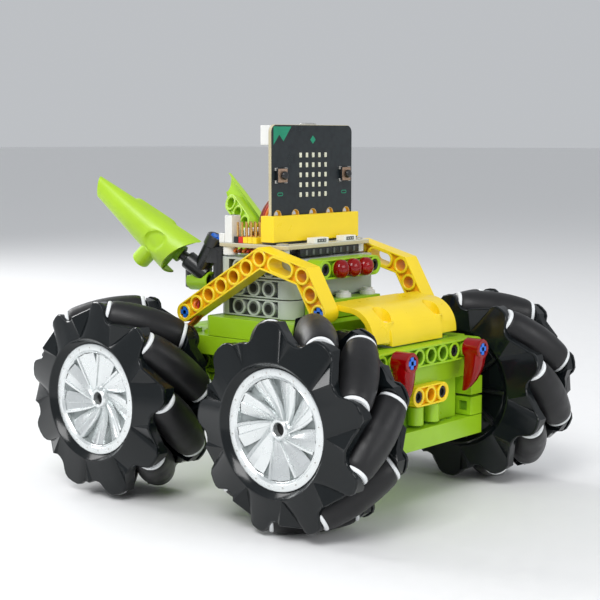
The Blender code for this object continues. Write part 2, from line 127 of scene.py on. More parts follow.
def moulded(name, color, rough, grain=0.06, tint=0.1, coat=0.0, metal=0.0, sheen=0.0, shine=0.5):
    """Moulded plastic, rubber or plating: uneven colour and gloss, fine grain and light handling wear."""
    made, tree, shader = principled(name)
    place = tree.nodes.new("ShaderNodeTexCoord").outputs["Object"]
    cloud = noise(tree, CLOUD_SCALE, 3, place)
    dark = tuple(c * (1 - tint) for c in color)
    light = tuple(min(1.0, c * (1 + tint)) for c in color)
    tree.links.new(ramp(tree, cloud, dark, light), shader.inputs["Base Color"])
    smear = noise(tree, SMEAR_SCALE, 5, place)
    tree.links.new(ramp(tree, smear, rough * 0.8, min(1.0, rough * 1.25)), shader.inputs["Roughness"])
    roughen(tree, shader, noise(tree, GRAIN_SCALE, 2, place), grain, GRAIN_DEEP)
    shader.inputs["Metallic"].default_value = metal
    shader.inputs["Specular IOR Level"].default_value = shine
    shader.inputs["Coat Weight"].default_value = coat
    shader.inputs["Coat Roughness"].default_value = 0.12
    shader.inputs["Sheen Weight"].default_value = sheen
    return made


def translucent(name, color):
    """Clear coloured plastic with a slightly uneven depth of colour."""
    made = moulded(name, color, 0.08, grain=0.02, tint=0.25, shine=0.35)
    shader = made.node_tree.nodes["Principled BSDF"]
    shader.inputs["Transmission Weight"].default_value = 0.4
    shader.inputs["IOR"].default_value = 1.49
    return made


def board_skin(name, color, trace):
    """Solder mask over copper: a grid of faint tracks under a glossy lacquer."""
    made, tree, shader = principled(name)
    place = tree.nodes.new("ShaderNodeTexCoord").outputs["Object"]
    tracks = tree.nodes.new("ShaderNodeTexVoronoi")
    tracks.distance = "CHEBYCHEV"
    tracks.feature = "F1"
    tracks.inputs["Scale"].default_value = TRACK_SCALE
    tree.links.new(place, tracks.inputs["Vector"])
    tree.links.new(ramp(tree, tracks.outputs["Distance"], trace, color), shader.inputs["Base Color"])
    gloss = noise(tree, 150, 4, place)
    tree.links.new(ramp(tree, gloss, 0.26, 0.42), shader.inputs["Roughness"])
    roughen(tree, shader, tracks.outputs["Distance"], 0.15, TRACK_DEEP)
    return made


LIME = moulded("lime_plastic", (0.31, 0.55, 0.010), 0.34, tint=0.05, coat=0.1)
# Darker green for the webs and hole linings of lime beams and for the nose's and wings' hollows: painted
# shade.
LIME_SHADE = moulded("lime_painted_shade", (0.13, 0.29, 0.006), 0.5)
WING_LIME = moulded("wing_lime", (0.41, 0.66, 0.022), 0.38, tint=0.04, coat=0.05)
YELLOW = moulded("yellow_plastic", (0.90, 0.66, 0.012), 0.34, tint=0.03, coat=0.1)
# Orange for the webs and hole linings of yellow beams: painted shade, with the orange tint as painted
# bounce light between the yellow walls.
YELLOW_SHADE = moulded("yellow_painted_shade", (0.86, 0.40, 0.004), 0.45)
GREY = moulded("grey_plastic", (0.44, 0.48, 0.43), 0.36, tint=0.05, coat=0.1)
# Dark grey, as painted shade: the chassis's inside, frame pockets, hole linings and plug openings. The same
# finish also colours the stripes on the motors and the bits under the expansion board.
DARK_GREY_AND_SHADE = moulded("dark_grey_and_painted_shade", (0.10, 0.11, 0.10), 0.5)
BLACK = moulded("black_plastic", (0.009, 0.010, 0.011), 0.3, coat=0.15)
HUB_BLACK = moulded("wheel_hub", (0.005, 0.007, 0.008), 0.16, grain=0.02, coat=0.05, shine=0.32)
RUBBER = moulded("roller_rubber", (0.007, 0.007, 0.008), 0.42, grain=0.12, sheen=0.02, shine=0.4)
SILVER = moulded("hub_cap", (0.78, 0.81, 0.81), 0.25, tint=0.02, grain=0.01, metal=0.75, coat=0.2)
# Darker, duller silver for the dish under the cap's blades: painted shade between the blades.
SILVER_SHADE = moulded("hub_cap_painted_shade", (0.34, 0.37, 0.37), 0.45, metal=0.5)
WASHER = moulded("washer_white", (0.78, 0.80, 0.81), 0.45, tint=0.04)
RED = translucent("red_lens", (0.36, 0.0005, 0.002))
BLUE = moulded("blue_plastic", (0.012, 0.15, 0.66), 0.32, coat=0.2)
WHITE = moulded("white_plastic", (0.80, 0.80, 0.77), 0.5, tint=0.04)
ROW_RED = moulded("row_red", (0.65, 0.02, 0.015), 0.45)
GOLD = moulded("gold", (0.78, 0.52, 0.20), 0.25, metal=0.9, grain=0.02)
TIN = moulded("tin", (0.62, 0.61, 0.58), 0.3, metal=0.9, grain=0.03)
BRONZE = moulded("button_plate", (0.40, 0.27, 0.19), 0.38, metal=0.6)
CARD = board_skin("controller_board", (0.006, 0.009, 0.012), (0.010, 0.016, 0.019))
BOARD = board_skin("expansion_board", (0.66, 0.65, 0.56), (0.60, 0.60, 0.52))
BOARD_EDGE = moulded("board_edge", (0.52, 0.46, 0.30), 0.6, grain=0.2)
MARK_GREEN = moulded("mark_green", (0.004, 0.24, 0.13), 0.4)
LED = moulded("led", (0.72, 0.72, 0.58), 0.35)
ORANGE = moulded("orange_wire", (0.76, 0.20, 0.025), 0.42, tint=0.12)
BROWN = moulded("brown_wire", (0.24, 0.05, 0.02), 0.45)
DARK_RED = moulded("dark_red_wire", (0.42, 0.03, 0.015), 0.45)
# Near black plugs and sheets deep in holes, bores and openings, and the web of the black beam: painted
# shade.
RECESS_SHADE = moulded("painted_recess_shade", (0.004, 0.004, 0.004), 0.7)


# Shapes: each solid is a closed mesh in millimetres


class Shape:
    """Solids of several finishes, gathered in millimetres, that become one piece."""

    def __init__(self):
        self.work = bmesh.new()
        self.finishes = []

    def add(self, mesh, finish, place=None):
        """Takes in a mesh, which is used up, with one finish and an optional placement."""
        if finish not in self.finishes:
            self.finishes.append(finish)
        index = self.finishes.index(finish)
        if place is not None:
            mesh.transform(place)
            if place.determinant() < 0:
                mesh.flip_normals()
        first = len(self.work.faces)
        self.work.from_mesh(mesh)
        self.work.faces.ensure_lookup_table()
        for face in self.work.faces[first:]:
            face.material_index = index
        bpy.data.meshes.remove(mesh)
        return self

    def box(self, finish, low, high, edge=EDGE):
        """Adds a rounded box between its lowest and highest corners."""
        self.add(block(low, high, edge), finish)

    def flank(self, finish, side, across, along, up, edge=EDGE):
        """Adds a rounded box on one side: across from the middle plane outwards, along Y and up Z."""
        near, far = sorted(side * x for x in across)
        self.box(finish, (near, along[0], up[0]), (far, along[1], up[1]), edge)

    def mesh(self, name):
        """The gathered solids as one mesh in metres. The shape is used up."""
        data = bpy.data.meshes.new(name)
        self.work.to_mesh(data)
        self.work.free()
        data.transform(Matrix.Scale(1 / METRE, 4))
        for finish in self.finishes:
            data.materials.append(finish)
        marked = [edge.index for edge in data.edges if edge.use_edge_sharp]
        data.shade_smooth()
        data.set_sharp_from_angle(angle=SHARP_ANGLE)
        for index in marked:
            data.edges[index].use_edge_sharp = True
        return data


def link(name, data):
    """Makes an object and puts it into the scene."""
    obj = bpy.data.objects.new(name, data)
    bpy.context.scene.collection.objects.link(obj)
    return obj


def evaluated(obj):
    """A new mesh of an object, with its curve or its modifiers worked out."""
    bpy.context.view_layer.update()
    graph = bpy.context.evaluated_depsgraph_get()
    return bpy.data.meshes.new_from_object(obj.evaluated_get(graph))


def piece(name, shape, replaces=(), body="chassis"):
    """Puts a shape or a ready mesh into the scene as a named piece that rides on a body."""
    obj = link(name, shape.mesh(name) if isinstance(shape, Shape) else shape)
    even = obj.modifiers.new("even_normals", "WEIGHTED_NORMAL")
    even.keep_sharp = True
    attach(obj, body)
    if replaces:
        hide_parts(*replaces)
    return obj


def to_mesh(work):
    """Turns a bmesh, which is used up, into a mesh whose faces all look outwards."""
    bmesh.ops.recalc_face_normals(work, faces=work.faces)
    data = bpy.data.meshes.new("solid")
    work.to_mesh(data)
    work.free()
    return data


def block(low, high, edge=EDGE):
    """A box with rounded edges."""
    work = bmesh.new()
    bmesh.ops.create_cube(work, size=1)
    for vert in work.verts:
        vert.co = [b if c > 0 else a for a, b, c in zip(low, high, vert.co)]
    if edge:
        bmesh.ops.bevel(work, geom=work.edges, offset=edge, segments=2, profile=0.5, affect="EDGES")
    return to_mesh(work)


def turns(sides):
    """Even angles round a full turn."""
    return [2 * math.pi * i / sides for i in range(sides)]


def lathe(profile, sides=ROUND_SIDES):
    """A closed solid of revolution about Z through (radius, height) points, first and last on the axis."""
    work = bmesh.new()
    rings = []
    for radius, height in profile:
        if radius == 0:
            rings.append([work.verts.new((0, 0, height))])
        else:
            points = [(radius * math.cos(a), radius * math.sin(a), height) for a in turns(sides)]
            rings.append([work.verts.new(point) for point in points])
    for below, above in zip(rings, rings[1:]):
        for i in range(sides):
            j = (i + 1) % sides
            corners = [ring[k % len(ring)] for ring, k in ((below, i), (below, j), (above, j), (above, i))]
            face = list(dict.fromkeys(corners))
            if len(face) > 2:
                work.faces.new(face)
    return to_mesh(work)


def drum(radius, low, high, edge=EDGE, sides=ROUND_SIDES):
    """A round bar along Z with rounded rims."""
    profile = [(0, low), (radius - edge, low), (radius, low + edge)]
    return lathe(profile + [(radius, high - edge), (radius - edge, high), (0, high)], sides)


def ring_solid(profile, sides):
    """A ring about Z with a closed section of (radius, height) points."""
    work = bmesh.new()
    rings = [
        [work.verts.new((r * math.cos(a), r * math.sin(a), h)) for a in turns(sides)] for r, h in profile
    ]
    for near, far in zip(rings, rings[1:] + rings[:1]):
        for i in range(sides):
            j = (i + 1) % sides
            work.faces.new((near[i], near[j], far[j], far[i]))
    return to_mesh(work)


def tube(outer, inner, low, high, edge=EDGE, sides=ROUND_SIDES):
    """A pipe along Z with rounded rims."""
    rim = [(outer - edge, low), (outer, low + edge), (outer, high - edge), (outer - edge, high)]
    bore = [(inner + edge, high), (inner, high - edge), (inner, low + edge), (inner + edge, low)]
    return ring_solid(rim + bore, sides)


def at(x, y, z=0.0):
    """The placement at a point, without a turn."""
    return Matrix.Translation((x, y, z))


def toward(start, direction, face="Z"):
    """The placement at a start point that turns an own axis, as a rule Z, to a direction."""
    turn = Vector(direction).to_track_quat(face, "Y").to_matrix().to_4x4()
    return at(*start) @ turn


def loft(rings):
    """A solid through rings of points that all have the same count, with flat ends."""
    work = bmesh.new()
    made = [[work.verts.new(p) for p in ring] for ring in rings]
    count = len(made[0])
    for near, far in zip(made, made[1:]):
        for i in range(count):
            j = (i + 1) % count
            work.faces.new((near[i], near[j], far[j], far[i]))
    work.faces.new(made[0])
    work.faces.new(made[-1])
    return to_mesh(work)


def sweep(points, radius, sides=10):
    """A round rod along a line of points."""
    points = [Vector(p) for p in points]
    rings = []
    side = None
    for i, point in enumerate(points):
        ahead = points[min(i + 1, len(points) - 1)] - points[max(i - 1, 0)]
        ahead.normalize()
        if side is None:
            side = ahead.orthogonal().normalized()
        side = (side - ahead * side.dot(ahead)).normalized()
        other = ahead.cross(side)
        rings.append([point + (side * math.cos(a) + other * math.sin(a)) * radius for a in turns(sides)])
    return loft(rings)


def curve_through(route, steps):
    """A Catmull-Rom curve through the route's points."""
    route = [Vector(p) for p in route]
    padded = [route[0] * 2 - route[1], *route, route[-1] * 2 - route[-2]]
    points = []
    for a, b, c, d in zip(padded, padded[1:], padded[2:], padded[3:]):
        slope = c - a
        bend = a * 2 - b * 5 + c * 4 - d
        twist = b * 3 - a - c * 3 + d
        for i in range(steps):
            t = i / steps
            points.append((b * 2 + slope * t + bend * t * t + twist * t**3) / 2)
    return points + [route[-1]]


# Flat outlines, and plates cut to them


def circle(x, y, radius, sides=ROUND_SIDES):
    """A closed outline round a point."""
    return [(x + radius * math.cos(a), y + radius * math.sin(a)) for a in turns(sides)]


def arc(x, y, radius, start, stop, steps):
    """Points on a circle from a start angle to a stop angle, in degrees."""
    angles = [math.radians(start + (stop - start) * i / steps) for i in range(steps + 1)]
    return [(x + radius * math.cos(a), y + radius * math.sin(a)) for a in angles]


def rounded_rectangle(x0, x1, y0, y1, radius, steps=8):
    """A closed outline between two x and two y, with round corners."""
    return (
        arc(x1 - radius, y0 + radius, radius, -90, 0, steps)
        + arc(x1 - radius, y1 - radius, radius, 0, 90, steps)
        + arc(x0 + radius, y1 - radius, radius, 90, 180, steps)
        + arc(x0 + radius, y0 + radius, radius, 180, 270, steps)
    )


def strip(points, half_width, steps=16):
    """The outline of a band along a bent line, with round ends and mitred bends."""
    points = [Vector(p) for p in points]
    headings = [(b - a).normalized() for a, b in zip(points, points[1:])]
    left = []
    right = []
    for before, after, point in zip(headings, headings[1:], points[1:-1]):
        across = Vector((-(before + after).y, (before + after).x)).normalized()
        reach = half_width / across.dot(Vector((-before.y, before.x)))
        left.append(tuple(point + across * reach))
        right.append(tuple(point - across * reach))
    first = math.degrees(math.atan2(headings[0].y, headings[0].x))
    last = math.degrees(math.atan2(headings[-1].y, headings[-1].x))
    start_arc = arc(*points[0], half_width, first + 90, first + 270, steps)
    end_arc = arc(*points[-1], half_width, last - 90, last + 90, steps)
    return start_arc + right + end_arc + left[::-1]


AXES = {"X": Vector((1, 0, 0)), "Y": Vector((0, 1, 0)), "Z": Vector((0, 0, 1))}
# A plate's outline lies in (y, z) for normal X, in (x, z) for normal Y and in (x, y) for normal Z.
PLANES = {
    "X": Matrix(((0, 0, 1, 0), (1, 0, 0, 0), (0, 1, 0, 0), (0, 0, 0, 1))),
    "Y": Matrix(((1, 0, 0, 0), (0, 0, -1, 0), (0, 1, 0, 0), (0, 0, 0, 1))),
    "Z": Matrix.Identity(4),
}


def plate(loops, normal, low, high, edge=EDGE):
    """A plate with rounded edges: the first loop is its outline, the others are holes.

    The bevel stands out by the edge's width, so the loops are drawn that much inside the solid.
    """
    data = bpy.data.curves.new("plate", "CURVE")
    data.dimensions = "2D"
    data.fill_mode = "BOTH"
    data.extrude = (high - low) / 2 - edge
    data.bevel_depth = edge
    data.bevel_resolution = 1
    for loop in loops:
        spline = data.splines.new("POLY")
        spline.points.add(len(loop) - 1)
        for point, (x, y) in zip(spline.points, loop):
            point.co = (x, y, 0, 1)
        spline.use_cyclic_u = True
    obj = link("plate", data)
    mesh = evaluated(obj)
    bpy.data.objects.remove(obj)
    bpy.data.curves.remove(data)
    mesh.materials.clear()
    work = bmesh.new()
    work.from_mesh(mesh)
    bmesh.ops.remove_doubles(work, verts=work.verts, dist=0.0005)
    bmesh.ops.recalc_face_normals(work, faces=work.faces)
    work.to_mesh(mesh)
    work.free()
    mesh.transform(Matrix.Translation(AXES[normal] * (low + high) / 2) @ PLANES[normal])
    return mesh


def on_plane(normal, x, y, height=0.0):
    """The placement of a solid that stands along a plate's normal at a point of its plane."""
    return Matrix.Translation(AXES[normal] * height) @ PLANES[normal] @ at(x, y)


def beam(shape, line, holes, normal, low, high, skin, deep, slots=(), place=Matrix.Identity(4)):
    """A studless beam: an outer wall, a ring round each hole, and a set-back web between them. The web and
    a lining in each hole take the deep finish, a darker copy of the skin that paints the shade in them.
    """
    middle = (low + high) / 2
    half = (high - low) / 2
    wall = [strip(line, HALF - EDGE), strip(line, HALF - WALL + EDGE)]
    shape.add(plate(wall, normal, low, high), skin, place)
    web = [strip(line, HALF - WALL * 0.6)]
    web += [circle(x, y, HOLE_R + 0.4) for x, y in holes]
    web += [strip(slot, HOLE_R + 0.4, 8) for slot in slots]
    web_half = half * WEB_SHARE
    shape.add(plate(web, normal, middle - web_half, middle + web_half, 0.05), deep, place)
    for x, y in holes:
        ring = tube(RING_R, HOLE_R, -half + 0.04, half - 0.04)
        shape.add(ring, skin, place @ on_plane(normal, x, y, middle))
        shade_lining = tube(HOLE_R + 0.1, HOLE_R - 0.05, 0.4 - half, half - 0.4, 0.02)
        shape.add(shade_lining, deep, place @ on_plane(normal, x, y, middle))
    for slot in slots:
        rim = [strip(slot, RING_R - EDGE, 12), strip(slot, HOLE_R + EDGE, 12)]
        shape.add(plate(rim, normal, low + 0.04, high - 0.04), skin, place)
    return shape


def straight_beam(shape, start, count, normal, low, high, skin, deep):
    """A level beam with a number of holes, from its first hole."""
    holes = [(start[0] + GRID * i, start[1]) for i in range(count)]
    return beam(shape, [holes[0], holes[-1]], holes, normal, low, high, skin, deep)


def pin(shape, normal, x, y, low, high):
    """A black friction pin in a hole: a bushing with a deep bore, and a near black plug in the bore as
    painted shade.
    """
    bore = 1.4
    middle = (low + high) / 2
    half = (high - low) / 2
    body = tube(HOLE_R - 0.05, bore, -half, half, 0.3, 24)
    shape.add(body, BLACK, on_plane(normal, x, y, middle))
    # The core is a near black plug: painted shade in the bore.
    core = drum(bore + 0.1, -half + 1.2, half - 1.2, 0.05, 16)
    shape.add(core, RECESS_SHADE, on_plane(normal, x, y, middle))


def cross_axle(shape, place, low, high):
    """A blue axle with a cross section, along the placement's Z axis."""
    long_side, short_side = 2.35, 0.95
    for width, depth in ((long_side, short_side), (short_side, long_side)):
        shape.add(block((-width, -depth, low), (width, depth, high), 0.2), BLUE, place)


# Wheels, drawn about Z with the outer side up: R is a radius, U a distance from the mid-plane

WHEEL_R = 40.0
ROLLER_AXIS_R = 32.2
ROLLER_HALF = 15.1
WASHER_HALF = 16.5
ROLLERS = 9
PERIOD = 360 / ROLLERS
COLLAR_IN, COLLAR_OUT = 22.7, 25.2
COLLAR_U, FLOOR_U, BACK_U = 17.9, 15.2, 13.7
PETAL_LIP, PETAL_SLOPE = 0.85, math.tan(math.radians(35)) * 0.35
FOOT_LEAD = 3
CORE_R = 20.4
LUG_PLANE = 23.9
LUG_TOP_R, LUG_IN = 38.7, 20.0
LUG_START, LUG_MIDDLE, LUG_STOP = 10.4, 16.6, 24.0
LUG_INSET = 0.35
BLADE_IN, BLADE_OUT, BLADE_MISS = 3.6, 18.5, 2.4
BLADE_WIDE, BLADE_TAPER = 21.0, 6.5
BLADE_Z, BLADE_RISE = 13.0, 2.3

# Edge of one petal: degrees from a roller's middle, edge radius and edge height from the mid-plane.
# The face falls from the facet's high corner to the next facet's low corner, like a turbine blade.
FACET_EDGE = ((-9.5, 36.4, 13.4), (1.8, 34.2, 17.6), (4, 33.4, 16.8))
PETAL_EDGE = (
    (7, 33.2, 16.6),
    (10, 33.6, 16.4),
    (12, 34.6, 16.1),
    (14, 36.4, 15.8),
    (16, 38.1, 15.4),
    (18.5, 39.1, 15.0),
    (22, 39.3, 14.6),
    (26, 39.1, 14.2),
    (28.5, 38.2, 13.8),
)
PLATE_THIN = 1.3


def polar(radius, degrees, height):
    """A point by its distance and angle round Z."""
    turn = math.radians(degrees)
    return Vector((radius * math.cos(turn), radius * math.sin(turn), height))


def star_edge():
    """Samples round the wheel: edge angle, radius and height, angle at the collar, and facet or petal."""
    samples = []
    for index in range(ROLLERS):
        base = index * PERIOD
        for angle, radius, height in FACET_EDGE:
            samples.append((base + angle, radius, height, base - FOOT_LEAD, True))
        for angle, radius, height in PETAL_EDGE:
            share = (angle - FACET_EDGE[-1][0]) / (PERIOD + FACET_EDGE[0][0] - FACET_EDGE[-1][0])
            samples.append((base + angle, radius, height, base - FOOT_LEAD + share * PERIOD, False))
    return samples


def star_mesh():
    """One star plate, facing +Z: collar with a flared well, nine petals, a facet between neighbours."""
    work = bmesh.new()
    samples = star_edge()
    columns = []
    for angle, radius, height, foot, facet in samples:
        lip = radius - PETAL_LIP
        points = [
            polar(COLLAR_IN - 2.5, foot, BACK_U),
            polar(COLLAR_IN - 2.5, foot, FLOOR_U - 1.0),
            polar(COLLAR_IN, foot, FLOOR_U),
            polar(COLLAR_OUT - 0.7, foot, COLLAR_U - 0.1),
            polar(COLLAR_OUT - 0.25, foot, COLLAR_U),
            polar(COLLAR_OUT + (0.1 if facet else 0.3), foot, COLLAR_U - 0.25),
            polar(lip, angle, height + (radius - lip) * PETAL_SLOPE),
            polar(radius - 0.45, angle, height + 0.28),
            polar(radius - 0.1, angle, height - 0.1),
            polar(radius, angle, height - 0.6),
            polar(radius - 0.1, angle, min(BACK_U, height - PLATE_THIN)),
        ]
        columns.append([work.verts.new(p) for p in points])
    count = len(columns)
    for i in range(count):
        near, far = columns[i], columns[(i + 1) % count]
        for k in range(len(near)):
            m = (k + 1) % len(near)
            work.faces.new((near[k], near[m], far[m], far[k]))
    for (*_, facet), column in zip(samples, columns):
        if facet:
            for near, far in zip(column[4:7], column[5:8]):
                crease = work.edges.get((near, far))
                crease.smooth = False
    bmesh.ops.remove_doubles(work, verts=work.verts, dist=0.01)
    return to_mesh(work)


def edge_at(degrees):
    """The star plate's edge radius and height at an angle from a roller's middle."""
    samples = [*FACET_EDGE, *PETAL_EDGE, *((a + PERIOD, r, h) for a, r, h in FACET_EDGE)]
    for near, far in zip(samples, samples[1:]):
        if near[0] <= degrees <= far[0]:
            share = (degrees - near[0]) / (far[0] - near[0])
            return near[1] + (far[1] - near[1]) * share, near[2] + (far[2] - near[2]) * share
    return samples[-1][1:]


def lug_mesh(turn):
    """The wedge behind a petal that holds a roller's axle: its slanted face is square to the axle."""
    rings = []
    steps = 8
    for i in range(steps + 1):
        along = LUG_START + (LUG_STOP - LUG_START) * i / steps
        low = LUG_PLANE - along if along < LUG_MIDDLE else LUG_PLANE - 2 * LUG_MIDDLE + along
        low = min(low, BACK_U - 0.05)
        radius = LUG_TOP_R
        for _ in range(3):
            edge, rim = edge_at(math.degrees(math.asin(along / radius)))
            radius = min(LUG_TOP_R, edge - LUG_INSET)
        top = math.sqrt(radius**2 - along**2)
        high = min(BACK_U + 0.3, rim - LUG_INSET - 0.3)
        low = min(low, high - 0.3)
        rings.append([(LUG_IN, along, low), (top, along, low), (top, along, high), (LUG_IN, along, high)])
    mesh = loft(rings)
    mesh.transform(Matrix.Rotation(turn, 4, "Z"))
    return mesh


def wheel_frame(side, front, phase):
    """The placement that takes Z to the outer side, and angles to the way that the petals sweep."""
    forward = Vector((0, math.cos(phase), math.sin(phase)))
    around = Vector((0, -math.sin(phase), math.cos(phase)))
    if not front:
        around = -around
    return Matrix((forward, around, Vector((side, 0, 0)))).transposed().to_4x4()


def blade_mesh(start):
    """One straight turbine blade of the hub cap, which leans past the middle and folds down at its back."""
    rings = []
    steps = 9
    first = math.acos(BLADE_MISS / BLADE_IN)
    for i in range(steps + 1):
        radius = BLADE_IN + (BLADE_OUT - BLADE_IN) * i / steps
        lead = start - math.degrees(math.acos(BLADE_MISS / radius) - first)
        width = BLADE_WIDE - BLADE_TAPER * (i / steps) ** 1.3
        rise = BLADE_Z + BLADE_RISE * (i / steps) ** 1.6
        section = ((1, 0.9), (0.92, 0), (0.7, -0.1), (0.62, 0.5), (0.05, 0.8), (-0.03, 0.25))
        section += ((-0.18, 0.35), (-1, 1.7), (-0.9, 3.2), (0.9, 3.0))
        rings.append([polar(radius, lead + width * turn, rise - drop) for turn, drop in section])
    return loft(rings)


def add_cap(name, body, place):
    """The silver cap: a riveted ring, nine blades over a dish in darker, duller silver that paints the
    shade between them, and a boss whose hole holds a near black plug of painted shade.
    """
    shape = Shape()
    dish = [(0, 10.4), (4, 10.6), (12, 11.0), (18.4, 12.6), (19.3, 14.4), (19.3, 9.6), (0, 9.6)]
    shape.add(lathe(dish, 64), SILVER_SHADE, place)
    ring = [(18.7, 13.4), (18.7, 15.0), (18.95, 15.25), (19.3, 15.0), (19.55, 15.3), (19.8, 15.55)]
    ring += [(21.9, 15.6), (22.3, 15.35), (22.45, 14.9), (22.45, 13.4)]
    shape.add(ring_solid(ring, 96), SILVER, place)
    for i in range(ROLLERS):
        shape.add(blade_mesh(i * PERIOD), SILVER, place)
    for i in range(20):
        stud = lathe([(0, 15.5), (0.36, 15.5), (0.36, 15.62), (0.2, 15.72), (0, 15.74)], 10)
        shape.add(stud, TIN, place @ Matrix.Translation(polar(20.8, i * 18 + 4, 0)))
    boss = [(2.5, 10.5), (2.5, 13.5), (2.8, 13.8), (3.5, 13.8), (4.0, 13.3), (4.4, 12.4), (4.6, 10.5)]
    shape.add(ring_solid(boss, 48), SILVER, place)
    shape.add(drum(2.55, 10.0, 11.2, 0.05), RECESS_SHADE, place)
    piece(name, shape, body=body)


def add_hub(node, body, place):
    """Two star plates back to back on a drum, with the lugs between them."""
    shape = Shape()
    flip = place @ Matrix.Rotation(math.pi, 4, "X")
    for half in (place, flip):
        shape.add(star_mesh(), HUB_BLACK, half)
        for turn in turns(ROLLERS):
            shape.add(lug_mesh(turn), HUB_BLACK, half)
    core = [(0, -13.5), (23.2, -13.5), (23.4, -13.0), (21.6, -8), (21.6, 8), (23.4, 13.0), (23.2, 13.5)]
    shape.add(lathe(core + [(CORE_R, 13.5), (CORE_R - 0.4, 9.4), (0, 9.4)], 72), HUB_BLACK, place)
    for turn in turns(ROLLERS):
        rib = block((6, -0.7, -15.2), (21.5, 0.7, -13.2), 0.2)
        shape.add(rib, BLACK, place @ Matrix.Rotation(turn, 4, "Z"))
    shape.add(tube(6.4, 2.6, -16.6, -13.2, 0.3), BLACK, place)
    piece(f"star_{node}", shape, [node], body)


def roller_shape():
    """A barrel along Z that touches the wheel's cylinder, with a faint seam, washers and axle ends."""
    def barrel(station):
        return WHEEL_R - math.hypot(ROLLER_AXIS_R, station / math.sqrt(2))

    shape = Shape()
    steps = 14
    end_r = barrel(ROLLER_HALF)
    profile = [(0, -ROLLER_HALF), (end_r - 1.3, -ROLLER_HALF)]
    profile += [(end_r - 0.45, -ROLLER_HALF + 0.15), (end_r - 0.08, -ROLLER_HALF + 0.6)]
    for i in range(1, steps):
        station = -ROLLER_HALF + 2 * ROLLER_HALF * i / steps
        radius = barrel(station)
        if abs(station) < 0.01:
            profile += [(radius, -0.25), (radius - 0.07, 0), (radius, 0.25)]
        else:
            profile.append((radius, station))
    profile += [(r, -h) for r, h in reversed(profile[:4])]
    shape.add(lathe(profile, 40), RUBBER)
    for end in SIDES:
        flip = Matrix.Scale(end, 4, (0, 0, 1))
        washer = [(0, 14.9), (5.0, 14.9), (5.55, 15.15), (5.7, 15.5), (5.6, 16.1), (5.2, WASHER_HALF)]
        shape.add(lathe(washer + [(0, WASHER_HALF)], 36), WASHER, flip)
        shape.add(drum(1.75, 16.2, 18.4, 0.2, 20), BLACK, flip)
    return shape


def add_wheels():
    """The four wheels, each with a hub, a cap and nine rollers, which all share one barrel."""
    roller_data = roller_shape().mesh("roller")
    for name, side, front in (("fl", -1, True), ("fr", 1, True), ("rl", -1, False), ("rr", 1, False)):
        centre = pivot(f"wheel_{name}_spin")
        first = pivot(f"roller_{name}_1_spin") - centre
        phase = math.atan2(first.z, first.y)
        place = Matrix.Translation(centre) @ wheel_frame(side, front, phase)
        add_hub(f"wheel_hub_{name}", f"wheel_{name}", place)
        add_cap(f"hub_cap_{name}", f"wheel_{name}", place)
        for number in range(1, ROLLERS + 1):
            joint = f"roller_{name}_{number}_spin"
            middle = pivot(joint)
            along = Vector(JOINTS[joint]["axis"]).normalized()
            out = (middle - centre).normalized()
            turn = Matrix((out, along.cross(out), along)).transposed().to_4x4()
            node = f"roller_{name}_{number}"
            data = roller_data.copy()
            data.transform(Matrix.Translation(middle / METRE) @ turn)
            piece(f"barrel_{node}", data, [node], node)


# Body: X is a distance from the middle plane, Y a depth, Z a height from the ground

BODY_X = 36
NOSE_Y = -64
ROW_Z, LINK_Z = 60, 44.6
FLOOR_Z, FLOOR_TOP = 24, 31.9
NINE = (-4 * GRID, ROW_Z)  # first hole of a nine-hole beam
INSERT_X = 24
FORWARD = (0, -1, 0)


def cut(shape, cutters):
    """The mesh of a shape with the cutters' shapes taken out of it."""
    body, tool = (link(name, part.mesh(name)) for name, part in (("body", shape), ("cutter", cutters)))
    step = body.modifiers.new("cut", "BOOLEAN")
    step.operation = "DIFFERENCE"
    step.solver = "EXACT"
    step.use_self = True
    step.material_mode = "TRANSFER"
    step.object = tool
    mesh = evaluated(body)
    for used in (body, tool):
        bpy.data.objects.remove(used)
    mesh.shade_smooth()
    mesh.set_sharp_from_angle(angle=SHARP_ANGLE)
    return mesh


def add_chassis():
    """Deck, raised block, side beams and floor of lime parts."""
    shape = Shape()
    shape.box(LIME, (-BODY_X, -55.2, 56.15), (BODY_X, 47.9, 63.9))
    straight_beam(shape, NINE, 9, "Y", 48.1, 56, LIME, LIME_SHADE)
    shape.add(plate([rounded_rectangle(-35.8, 35.8, -31.8, 23.8, 3.8)], "Z", 64.05, 72), LIME)
    for side in SIDES:
        low, high = sorted((side * 20.2, side * 28))
        for level in range(3):
            straight_beam(shape, (-32, 36 + GRID * level), 9, "X", low, high, LIME, LIME_SHADE)
    shape.box(LIME, (-27.9, -51.2, FLOOR_Z), (27.9, 51.2, FLOOR_TOP))
    # A dark grey box that fills the chassis between the side beams: painted shade inside the body.
    shape.box(DARK_GREY_AND_SHADE, (-20, -34, 31.5), (20, 34, 56.5))
    for side in SIDES:
        for y in (-30, -14, 2, 18):
            shape.add(tube(3.3, 2.4, -0.5, 0.6, 0.15), LIME, at(side * 16, y, FLOOR_Z + 0.4))
        for y in (28, 36, 44):
            shape.add(tube(2.5, 1.5, 63.5, 65.4, 0.2), LIME, at(side * 28, y))
        shape.add(tube(3.2, 2.2, 63.5, 64.6, 0.2), LIME, at(side * 24, -51))
        # A near black plug in each front tube: painted shade.
        shape.add(drum(2.3, 63.4, 64.1, 0.1), RECESS_SHADE, at(side * 24, -51))
    piece("chassis_body", shape, ["chassis_frame"])
    shape = Shape()
    for side in SIDES:
        shape.flank(YELLOW, side, (28.2, 35.2), (-4, 5), (63.6, 64.35), 0.15)
        for y in (-32, 32):
            pin(shape, "X", y, 52, side * 26 - 2.5, side * 26 + 2.5)
    for x in (-INSERT_X, INSERT_X):
        pin(shape, "Y", x, ROW_Z, 52, 56.3)
    piece("chassis_inserts", shape)


